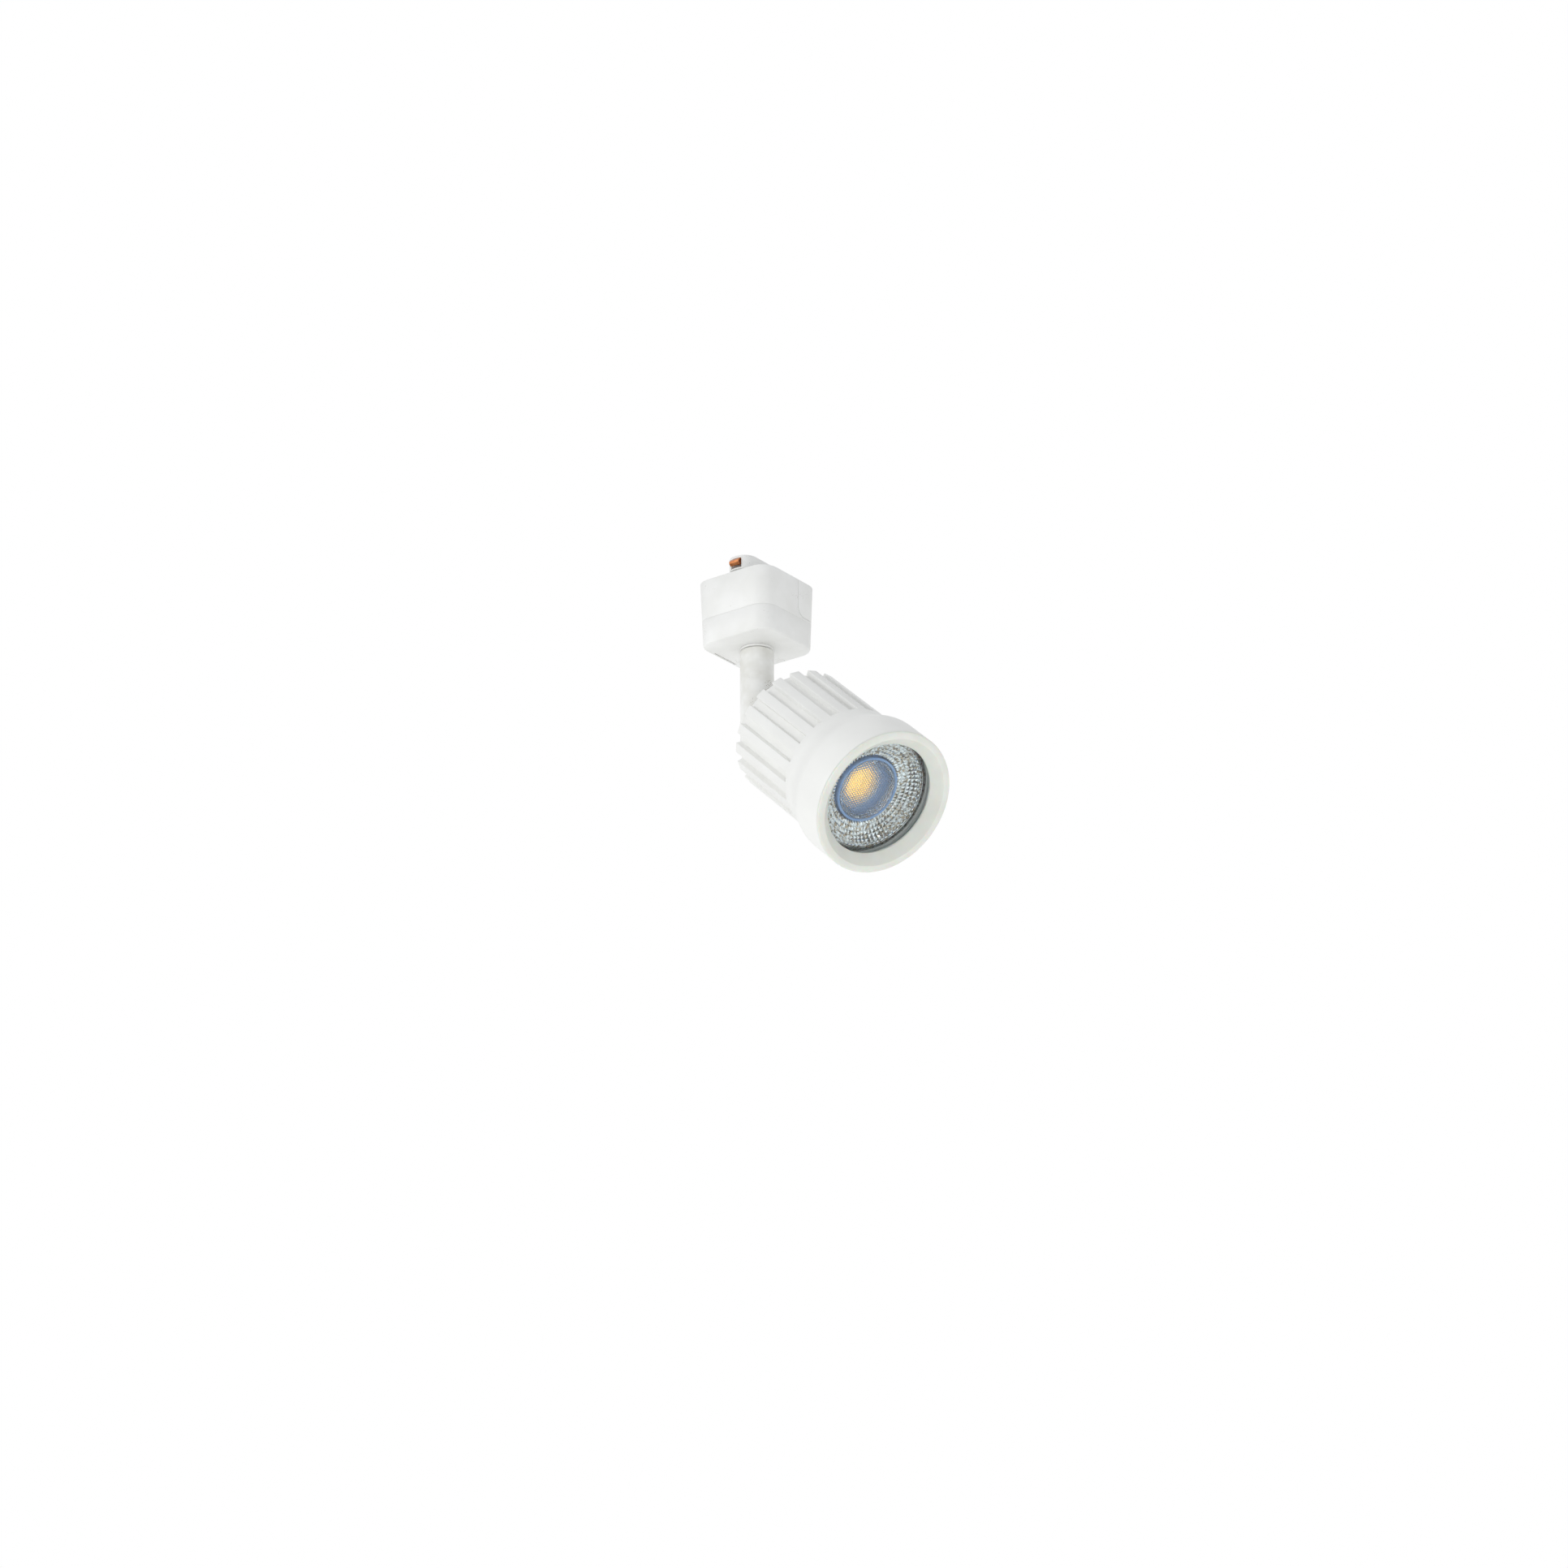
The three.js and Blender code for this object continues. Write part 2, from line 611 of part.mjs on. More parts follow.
function terminalBlock() {
  const { x0, x1, y0, y1, z0, z1 } = terminalPlace();
  const body = block([x0, x1], [y0, y1], [z0, z1]);
  const middle = (x0 + x1) / 2;
  const wells = terminalWells().map((y) =>
    rod("z", z1 - 3, z1 + 1, 1.5, [middle, y, 0]));
  return cut(body, ...wells);
}

function terminalWells() {
  const { y0, y1 } = terminalPlace();
  const third = (y1 - y0) / 4;
  return [y0 + third, y1 - third];
}

function contactLead(startY, wellY) {
  const { x0, x1, z1 } = terminalPlace();
  const start = -LID_THICKNESS - TURRET_FLANGE_THICKNESS - 3 * GAP;
  const middle = (x0 + x1) / 2;
  return wire(throughPoints([
    [2.5, startY, start],
    [4.5, (2 * startY + wellY) / 3, start - 1.6],
    [middle - 1.6, wellY, z1 + 1.6],
    [middle, wellY, z1 - 1.6],
  ]), LEAD_RADIUS, 12);
}

function buildAdapter() {
  const group = new THREE.Group();
  const [nearWell, farWell] = terminalWells();
  const skin = boxSurface(0).subtract(boxSurface(HATCH_SKIN));
  group.add(piece("adapter_shell", adapterShell(), "whitePlastic"));
  group.add(piece("adapter_base", adapterBase(), "whitePlastic"));
  group.add(piece("adapter_lid", adapterLid(), "whitePlastic"));
  POSTS.forEach((place, i) => group.add(piece(`lid_screw_${i + 1}`, lidScrew(place), "steel")));
  group.add(piece("terminal_hatch", skin.intersect(hatchRegion(0)), "whitePlastic"));
  group.add(piece("contact_turret", contactTurret(), "whitePlastic"));
  group.add(piece("contact_live", contactLeaf(-1), "copper"));
  group.add(piece("contact_neutral", contactLeaf(1), "copper"));
  group.add(piece("terminal_block", terminalBlock(), "blackPlastic"));
  group.add(piece("live_lead", contactLead(-2.5, nearWell), "brownSleeve"));
  group.add(piece("neutral_lead", contactLead(2.5, farWell), "blueSleeve"));
  group.add(piece("release_latch", releaseLatch(), "whitePlastic"));
  group.add(piece("latch_spring", wire(new Helix(), SPRING_WIRE, SPRING_TURNS * 10), "steel"));
  group.add(piece("stem_bush", stemBush(), "whitePlastic"));
  return group;
}

// ---------------------------------------------------------------- Stem

const BUSH_TOP = FLOOR_TOP + GAP;
const WASHER_BOTTOM = BUSH_TOP + GAP;
const SPRING_WASHER_BOTTOM = WASHER_BOTTOM + WASHER_THICKNESS + GAP;
const NUT_BOTTOM = SPRING_WASHER_BOTTOM + WASHER_THICKNESS + GAP;
const STEM_SHOULDER = -BOX_HEIGHT - BUSH_LIP - GAP;
const FORK_END = -PIVOT_DROP - FORK_BELOW_PIVOT;
const FORK_SLOT = LUG_THICKNESS + 2 * (FRICTION_WASHER + 2 * GAP);

function stemBush() {
  return turned([
    [-BOX_HEIGHT - BUSH_LIP, SPIGOT_RADIUS + GAP],
    [-BOX_HEIGHT - BUSH_LIP, STEM_RADIUS - 0.2],
    [-BOX_HEIGHT - BUSH_LIP + 0.2, STEM_RADIUS],
    [-BOX_HEIGHT - 0.05, STEM_RADIUS],
    [-BOX_HEIGHT - 0.05, BUSH_RADIUS],
    [BUSH_TOP, BUSH_RADIUS],
    [BUSH_TOP, SPIGOT_RADIUS + GAP],
  ], "z");
}

function stemTube() {
  const tube = turned([
    [FORK_END, STEM_BORE],
    [FORK_END, STEM_RADIUS - 0.6],
    [FORK_END + 0.6, STEM_RADIUS],
    [STEM_SHOULDER - 0.3, STEM_RADIUS],
    [STEM_SHOULDER, STEM_RADIUS - 0.3],
    [STEM_SHOULDER, SPIGOT_RADIUS],
    [SPIGOT_TOP - 0.5, SPIGOT_RADIUS],
    [SPIGOT_TOP, SPIGOT_RADIUS - 0.5],
    [SPIGOT_TOP, STEM_BORE],
  ], "z");
  const half = FORK_SLOT / 2;
  const slotTop = -PIVOT_DROP + SLOT_ABOVE_PIVOT;
  const slot = block([-STEM_RADIUS - 1, STEM_RADIUS + 1], [-half, half], [FORK_END - 1, slotTop]);
  const at = [0, 0, -PIVOT_DROP];
  const boltHole = rod("y", -STEM_RADIUS - 1, STEM_RADIUS + 1, BOLT_RADIUS + GAP, at);
  const headSeat = rod("y", -STEM_RADIUS - 1, -CHEEK_SEAT, BOLT_HEAD_RADIUS + GAP, at);
  const nutSeat = rod("y", CHEEK_SEAT, STEM_RADIUS + 1, BOLT_HEAD_RADIUS + GAP, at);
  return cut(tube, slot, boltHole, headSeat, nutSeat);
}

// The tab meets the post in the adapter's floor at either end of the swivel.
function stopWasher() {
  const top = WASHER_BOTTOM + WASHER_THICKNESS;
  const disc = rod("z", WASHER_BOTTOM, top, WASHER_RADIUS);
  const half = STOP_TAB_WIDTH / 2;
  const tab = block([WASHER_RADIUS - 1, STOP_TAB_REACH], [-half, half], [WASHER_BOTTOM, top]);
  return cut(joined(disc, tab), rod("z", WASHER_BOTTOM - 1, top + 1, SPIGOT_RADIUS + GAP));
}

function springWasher() {
  const top = SPRING_WASHER_BOTTOM + WASHER_THICKNESS;
  return ring("z", SPRING_WASHER_BOTTOM, top, SPIGOT_RADIUS + GAP, WASHER_RADIUS);
}

function stemNut() {
  const body = prism(hexagon(NUT_ACROSS_FLATS), "z", NUT_BOTTOM, NUT_BOTTOM + NUT_HEIGHT);
  return body.subtract(rod("z", NUT_BOTTOM - 1, SPIGOT_TOP + 1, SPIGOT_RADIUS + GAP));
}

function pivotBolt() {
  const seat = -CHEEK_SEAT - GAP;
  const profile = [
    [seat - BOLT_HEAD_HEIGHT, 0],
    [seat - BOLT_HEAD_HEIGHT, BOLT_HEAD_RADIUS - 0.6],
    [seat - BOLT_HEAD_HEIGHT + 0.5, BOLT_HEAD_RADIUS],
    [seat, BOLT_HEAD_RADIUS],
    [seat, BOLT_RADIUS],
    [STEM_RADIUS - 0.1, BOLT_RADIUS],
    [STEM_RADIUS - 0.1, 0],
  ];
  const at = [0, 0, -PIVOT_DROP];
  const driveSocket = prism(hexagon(2.5), "y", seat - BOLT_HEAD_HEIGHT - 1, seat - 0.2);
  const lowered = driveSocket.translate(at);
  return turned(profile, "y", at).subtract(lowered);
}

function pivotNut() {
  const start = CHEEK_SEAT + GAP;
  const end = STEM_RADIUS + 0.2;
  const shape = hexagon(BOLT_HEAD_RADIUS * Math.sqrt(3));
  const hole = new THREE.Path();
  hole.absarc(0, 0, BOLT_RADIUS + GAP, 0, Math.PI * 2);
  shape.holes.push(hole);
  return prism(shape, "y", start, end).translate([0, 0, -PIVOT_DROP]);
}

function pivotWasher(side) {
  const inner = LUG_THICKNESS / 2 + GAP;
  const [start, end] = [side * inner, side * (inner + FRICTION_WASHER)].sort((a, b) => a - b);
  return ring("y", start, end, BOLT_RADIUS + GAP, LUG_RADIUS - 0.4, [0, 0, -PIVOT_DROP]);
}

function buildStem() {
  const group = new THREE.Group();
  group.rotation.z = degrees(PAN_AT_REST);
  group.add(piece("stem_tube", stemTube(), "whitePaint"));
  group.add(piece("stop_washer", stopWasher(), "steel"));
  group.add(piece("spring_washer", springWasher(), "steel"));
  group.add(piece("stem_nut", stemNut(), "steel"));
  group.add(piece("pivot_bolt", pivotBolt(), "steel"));
  group.add(piece("pivot_nut", pivotNut(), "steel"));
  group.add(piece("pivot_washer_near", pivotWasher(-1), "blackPlastic"));
  group.add(piece("pivot_washer_far", pivotWasher(1), "blackPlastic"));
  return group;
}

// ---------------------------------------------------------------- Lamp head

// Stations along the lamp's axis.
const BODY_REAR = LUG_REACH;
const RIM = BODY_REAR + HEAD_LENGTH;
const RIB_END = BODY_REAR + RIB_LENGTH;
const COLLAR_END = RIB_END + COLLAR_LENGTH;
const FLARE_END = COLLAR_END + FLARE_LENGTH;
const LED_SEAT = COLLAR_END + BULKHEAD_SETBACK;
const BULKHEAD_REAR = LED_SEAT - BULKHEAD_THICKNESS;
const BEZEL_SEAT = RIM - FUNNEL_DEPTH - BEZEL_BACK;
const GLASS_FRONT = BEZEL_SEAT - GAP;
const GLASS_REAR = GLASS_FRONT - GLASS_THICKNESS;
const GASKET_REAR = GLASS_REAR - GAP - GASKET_THICKNESS;
const GLASS_LEDGE = GASKET_REAR - GAP;
const CAP_FACE = BODY_REAR - GAP - CAP_FLANGE - CAP_NOSE;

// Radii about the lamp's axis.
const RIB_ROOT_RADIUS = RIB_TIP_RADIUS - RIB_DEPTH;
const DRIVER_BORE = RIB_ROOT_RADIUS - BODY_WALL;
const SEAT_BORE = BELL_RADIUS - RIM_SEAT_WALL;
const OPTIC_BORE = SEAT_BORE - SEAT_LEDGE;
const LENS_CUP_RADIUS = LENS_RADIUS + GAP + LENS_CUP_WALL;

// The section through the ribs: straight-sided ribs with rounded tips, round a plain bore.
function ribSection() {
  const half = RIB_WIDTH / 2;
  const quarter = [0, 45, 90].map(degrees);
  const tip = RIB_TIP_RADIUS - RIB_ROUND;
  const side = half - RIB_ROUND;
  const rib = [
    [RIB_ROOT_RADIUS, -half],
    ...quarter.map((a) => [tip + RIB_ROUND * Math.sin(a), -side - RIB_ROUND * Math.cos(a)]),
    ...quarter.map((a) => [tip + RIB_ROUND * Math.cos(a), side + RIB_ROUND * Math.sin(a)]),
    [RIB_ROOT_RADIUS, half],
  ];
  const points = [];
  for (let i = 0; i < RIB_COUNT; i += 1) {
    const angle = degrees(RIB_TURN + (i * 360) / RIB_COUNT);
    rib.forEach(([out, along]) => points.push([
      out * Math.cos(angle) - along * Math.sin(angle),
      out * Math.sin(angle) + along * Math.cos(angle),
    ]));
  }
  return outline(points);
}

// A soft S from one radius to another.
function flare(start, startRadius, end, endRadius) {
  const steps = 5;
  return Array.from({ length: steps + 1 }, (_, i) => {
    const t = i / steps;
    const ease = t * t * (3 - 2 * t);
    return [start + t * (end - start), startRadius + ease * (endRadius - startRadius)];
  });
}

function capScrewPlaces() {
  return Array.from({ length: CAP_SCREW_COUNT }, (_, i) => {
    const angle = Math.PI / 2 + (i * 2 * Math.PI) / CAP_SCREW_COUNT;
    return [0, CAP_SCREW_PLACE * Math.cos(angle), CAP_SCREW_PLACE * Math.sin(angle)];
  });
}

function finnedHousing() {
  const bellFront = RIM - BEZEL_LIP - GAP;
  const rearTrim = turned([
    [BODY_REAR, 0],
    [BODY_REAR, RIB_TIP_RADIUS - 0.9],
    [BODY_REAR + 0.3, RIB_TIP_RADIUS - 0.3],
    [BODY_REAR + 1.1, RIB_TIP_RADIUS + 0.1],
    [RIB_END, RIB_TIP_RADIUS + 0.1],
    [RIB_END, 0],
  ], "x");
  const ribs = prism(ribSection(), "x", BODY_REAR, RIB_END).intersect(rearTrim);
  const bell = turned([
    [RIB_END - 0.4, 0],
    [RIB_END - 0.4, RIB_ROOT_RADIUS - 0.5],
    [RIB_END, RIB_TIP_RADIUS],
    ...flare(COLLAR_END, RIB_TIP_RADIUS, FLARE_END, BELL_RADIUS),
    [bellFront - 0.4, BELL_RADIUS],
    [bellFront, BELL_RADIUS - 0.4],
    [bellFront, SEAT_BORE],
    [GLASS_LEDGE, SEAT_BORE],
    [GLASS_LEDGE, OPTIC_BORE],
    [LED_SEAT + 2.5, OPTIC_BORE],
    [LED_SEAT, OPTIC_BORE - 1.5],
    [LED_SEAT, 0],
  ], "x");
  const driverBore = rod("x", BODY_REAR - 1, BULKHEAD_REAR, DRIVER_BORE);
  const bossStart = BODY_REAR + 1.3;
  const bosses = capScrewPlaces().map((at) =>
    rod("x", bossStart, bossStart + CAP_BOSS_LENGTH, CAP_BOSS_RADIUS, at));
  const bossHoles = capScrewPlaces().map((at) =>
    rod("x", bossStart - 1, bossStart + CAP_BOSS_LENGTH - 1, SCREW_SHANK + GAP, at));
  const within = rod("x", BODY_REAR, BULKHEAD_REAR, DRIVER_BORE + 0.5);
  const held = bosses.map((boss) => boss.intersect(within));
  const shell = joined(cut(joined(ribs, bell), driverBore), ...held);
  const screwHoles = holderScrewPlaces().map((at) =>
    rod("x", LED_SEAT - 4, LED_SEAT + 1, SCREW_SHANK * 0.8 + GAP, at));
  const leadHoles = ledLeadPlaces().map((at) =>
    rod("x", BULKHEAD_REAR - 1, LED_SEAT + 1, LEAD_RADIUS + 2 * GAP, at));
  return cut(shell, ...bossHoles, ...screwHoles, ...leadHoles);
}

function bezelRing() {
  const lipRear = RIM - BEZEL_LIP;
  const spigot = SEAT_BORE - GAP;
  const funnelMouth = BEZEL_FRONT_RADIUS - BEZEL_LIP_WIDTH;
  return turned([
    [BEZEL_SEAT, OPENING_RADIUS],
    [BEZEL_SEAT, spigot],
    [lipRear, spigot],
    [lipRear, BELL_RADIUS],
    [RIM - 0.5, BELL_RADIUS],
    [RIM - 0.1, BEZEL_FRONT_RADIUS],
    [RIM, BEZEL_FRONT_RADIUS - 0.3],
    [RIM, funnelMouth],
    [RIM - FUNNEL_DEPTH, OPENING_RADIUS],
  ], "x");
}

// A sleeve round the lens cup opens into a shallow dish that reaches out to the glass's ledge.
function reflector() {
  const front = GLASS_LEDGE - GAP;
  const rear = holderFront() + GAP;
  const dishRear = RIM - LENS_SETBACK - DISH_SETBACK;
  const throat = LENS_CUP_RADIUS + GAP;
  const dish = (back) => {
    const steps = 4;
    return Array.from({ length: steps + 1 }, (_, i) => {
      const t = i / steps;
      const spread = Math.sin((t * Math.PI) / 2);
      const radius = throat + (REFLECTOR_MOUTH - throat) * spread;
      return [dishRear + t * (front - dishRear) - back, radius + back];
    });
  };
  return turned([
    [rear, throat],
    ...dish(0),
    [front, OPTIC_BORE - GAP],
    [front - REFLECTOR_WALL, OPTIC_BORE - GAP],
    ...dish(REFLECTOR_WALL).reverse(),
    [rear, throat + REFLECTOR_WALL],
  ], "x");
}

function lens() {
  const front = RIM - LENS_SETBACK;
  const rear = front - LENS_THICKNESS;
  return turned([
    [rear, 0],
    [rear, LENS_RADIUS - 1.9],
    [rear + 1.6, LENS_RADIUS],
    [front - 0.3, LENS_RADIUS],
    [front, LENS_RADIUS - 0.4],
    [front + 0.3, LENS_RADIUS / 2],
    [front + 0.4, 0],
  ], "x");
}

// The cup stands on the source's holder and carries the lens on an inner shoulder.
function lensCup() {
  const front = RIM - LENS_SETBACK + 0.4;
  const rear = holderFront() + GAP;
  const lensRear = RIM - LENS_SETBACK - LENS_THICKNESS;
  const shoulder = lensRear - GAP;
  const inner = LENS_RADIUS + GAP;
  const window = HOLDER_WINDOW + GAP;
  return turned([
    [rear, window],
    [rear, LENS_CUP_RADIUS],
    [front, LENS_CUP_RADIUS],
    [front, inner],
    [lensRear + 1.6, inner],
    [shoulder, LENS_RADIUS - 1.7],
    [shoulder, window],
  ], "x");
}

const PAD_REAR = LED_SEAT + GAP;
const LED_BOARD_REAR = PAD_REAR + PAD_THICKNESS + GAP;
const LED_BOARD_FRONT = LED_BOARD_REAR + LED_BOARD_THICKNESS;
const HOLDER_REAR = LED_BOARD_FRONT + GAP;

function holderFront() {
  return HOLDER_REAR + HOLDER_THICKNESS;
}

function holderScrewPlaces() {
  return [-1, 1].map((side) => [0, side * HOLDER_SCREW_PLACE, 0]);
}

function ledLeadPlaces() {
  return [-1, 1].map((side) => [0, side * 3, -LED_BOARD / 2 - LEAD_RADIUS - 3 * GAP]);
}

function ledHolder() {
  const front = holderFront();
  const shank = SCREW_SHANK * 0.8 + GAP;
  const body = ring("x", HOLDER_REAR, front, HOLDER_WINDOW, HOLDER_RADIUS);
  const seats = holderScrewPlaces().flatMap((at) => [
    rod("x", HOLDER_REAR - 1, front + 1, shank, at),
    rod("x", front - SCREW_HEAD_HEIGHT, front + 1, SCREW_HEAD * 0.75 + GAP, at),
  ]);
  return cut(body, ...seats);
}

function holderScrew(at) {
  const top = holderFront() - 0.1;
  const seat = top - SCREW_HEAD_HEIGHT + GAP + 0.1;
  const shank = SCREW_SHANK * 0.8;
  return turned([
    [LED_SEAT - 3.5, 0],
    [LED_SEAT - 3.5, shank],
    [seat, shank],
    [seat, SCREW_HEAD * 0.75],
    [top, SCREW_HEAD * 0.75],
    [top, 0],
  ], "x", at);
}

const LINER_REAR = BODY_REAR + 1.3 + CAP_BOSS_LENGTH + GAP;
const LINER_FRONT = BULKHEAD_REAR - GAP;
const LINER_RADIUS = DRIVER_BORE - GAP;
const LINER_BORE = LINER_RADIUS - LINER_WALL;
const BOARD_TOP = BOARD_LEVEL + BOARD_THICKNESS;
const BOARD_HALF_WIDTH = Math.sqrt(LINER_BORE ** 2 - BOARD_LEVEL ** 2) - GAP - 0.3;

function driverLiner() {
  const tube = ring("x", LINER_REAR, LINER_FRONT, LINER_BORE, LINER_RADIUS);
  const rails = [-1, 1].flatMap((side) => {
    const across = [side * (BOARD_HALF_WIDTH - 1.2), side * (LINER_BORE + 0.6)].sort((a, b) => a - b);
    const along = [LINER_REAR, LINER_FRONT];
    const above = BOARD_TOP + GAP;
    const below = BOARD_LEVEL - GAP;
    return [
      block(along, across, [above, above + RAIL_THICKNESS]),
      block(along, across, [below - RAIL_THICKNESS, below]),
    ];
  });
  const within = rod("x", LINER_REAR, LINER_FRONT, LINER_RADIUS - 0.2);
  return joined(tube, ...rails.map((rail) => rail.intersect(within)));
}

function driverBoard() {
  const half = BOARD_HALF_WIDTH;
  return block([LINER_REAR + BOARD_MARGIN, LINER_FRONT - BOARD_MARGIN], [-half, half],
    [BOARD_LEVEL, BOARD_TOP]);
}

// What stands on the board, from its middle outwards.
function driverParts() {
  const base = BOARD_TOP + GAP;
  const middle = (LINER_REAR + LINER_FRONT) / 2;
  const reach = (LINER_FRONT - LINER_REAR) / 2 - BOARD_MARGIN - 1;
  const along = [middle - reach * 0.6, middle + reach * 0.6];
  const half = BOARD_HALF_WIDTH / 3;
  const core = block(along, [-half, half], [base, base + 3]);
  const coil = rod("z", base + 2, base + 9, Math.min(half, reach * 0.6) * 0.9, [middle, 0, 0]);
  const top = block(along, [-half, half], [base + 8.5, base + 11.5]);
  const canRadius = BOARD_HALF_WIDTH * 0.24;
  const can = rod("x", middle - reach, middle + reach * 0.6, canRadius,
    [0, half + 0.8 + canRadius, base + canRadius]);
  const film = block([middle - reach * 0.4, middle + reach * 0.4], [-half * 2.2, -half * 1.4],
    [base, base + 8]);
  return { transformer: joined(core, coil, top), can, film };
}

// From under the driver board, through the bulkhead, to the edge of the light source's board.
function ledLead([, y, z]) {
  const under = BOARD_LEVEL - LEAD_RADIUS - GAP;
  return wire(throughPoints([
    [LINER_FRONT - 9, y * 1.6, under],
    [LINER_FRONT - 5, y * 1.3, (2 * under + z) / 3],
    [LINER_FRONT - 1, y, z],
    [LED_SEAT, y, z],
    [LED_BOARD_FRONT - LEAD_RADIUS, y, z],
  ]), LEAD_RADIUS, 14);
}

function rearCap() {
  const front = BODY_REAR - GAP;
  const flangeRear = front - CAP_FLANGE;
  const noseBase = CAP_NOSE_RADIUS + 2.1;
  const lipOuter = DRIVER_BORE - GAP;
  const shell = turned([
    [CAP_FACE, 0],
    [CAP_FACE, CAP_NOSE_RADIUS - 0.8],
    [CAP_FACE + 0.8, CAP_NOSE_RADIUS],
    [flangeRear, noseBase],
    [flangeRear, CAP_RADIUS - 0.8],
    [flangeRear + 0.8, CAP_RADIUS],
    [front, CAP_RADIUS],
    [front, lipOuter],
    [front + 1.1, lipOuter],
    [front + 1.1, lipOuter - 0.9],
    [front, lipOuter - 0.9],
    [front, noseBase],
    [CAP_FACE + CAP_WALL, noseBase - CAP_WALL - 1],
    [CAP_FACE + CAP_WALL, 0],
  ], "x");
  const screwHoles = capScrewPlaces().flatMap((at) => [
    rod("x", flangeRear - 1, front + 1, SCREW_SHANK + GAP, at),
    rod("x", CAP_FACE - 1, flangeRear - 0.05, SCREW_HEAD + GAP / 2, at),
  ]);
  const leadHole = rod("x", CAP_FACE - 1, CAP_FACE + CAP_WALL + 1, GROMMET_RADIUS + GAP,
    [0, GROMMET_PLACE, 0]);
  return cut(joined(shell, tiltLug()), ...screwHoles, leadHole, rod("y", -LUG_THICKNESS, LUG_THICKNESS,
    BOLT_RADIUS + GAP, [0, 0, -AXIS_RISE]));
}

// A flat tongue round the pivot that widens into a web across the cap.
function tiltLug() {
  const root = BODY_REAR - GAP - CAP_FLANGE / 2;
  const clear = STEM_RADIUS + 1.2;
  const shape = new THREE.Shape();
  shape.moveTo(root, -AXIS_RISE - LUG_RADIUS);
  shape.lineTo(root, CAP_NOSE_RADIUS - 1);
  shape.lineTo(clear, -AXIS_RISE + LUG_RADIUS);
  shape.absarc(0, -AXIS_RISE, LUG_RADIUS, Math.PI / 2, Math.PI * 1.5);
  return prism(shape, "y", -LUG_THICKNESS / 2, LUG_THICKNESS / 2);
}

function capScrew(at) {
  const seat = BODY_REAR - GAP - CAP_FLANGE - GAP / 2;
  const depth = CAP_BOSS_LENGTH + CAP_FLANGE - 0.6;
  const [, y, z] = at;
  const body = turned([
    [seat - SCREW_HEAD_HEIGHT, 0],
    [seat - SCREW_HEAD_HEIGHT, SCREW_HEAD - 0.7],
    [seat - 0.5, SCREW_HEAD],
    [seat, SCREW_HEAD],
    [seat, SCREW_SHANK],
    [seat + depth, SCREW_SHANK],
    [seat + depth, 0],
  ], "x", at);
  const arm = SCREW_HEAD * 0.6;
  const depthRange = [seat - SCREW_HEAD_HEIGHT - 1, seat - 0.3];
  return cut(
    body,
    block(depthRange, [y - arm, y + arm], [z - 0.35, z + 0.35]),
    block(depthRange, [y - 0.35, y + 0.35], [z - arm, z + arm]),
  );
}

function capGrommet() {
  const outside = CAP_FACE - GAP;
  const inside = CAP_FACE + CAP_WALL + GAP;
  return turned([
    [outside - 0.9, GROMMET_RADIUS - 0.8],
    [outside - 0.9, GROMMET_RADIUS + 0.6],
    [outside, GROMMET_RADIUS + 1],
    [outside, GROMMET_RADIUS],
    [inside, GROMMET_RADIUS],
    [inside, GROMMET_RADIUS - 0.8],
  ], "x", [0, GROMMET_PLACE, 0]);
}

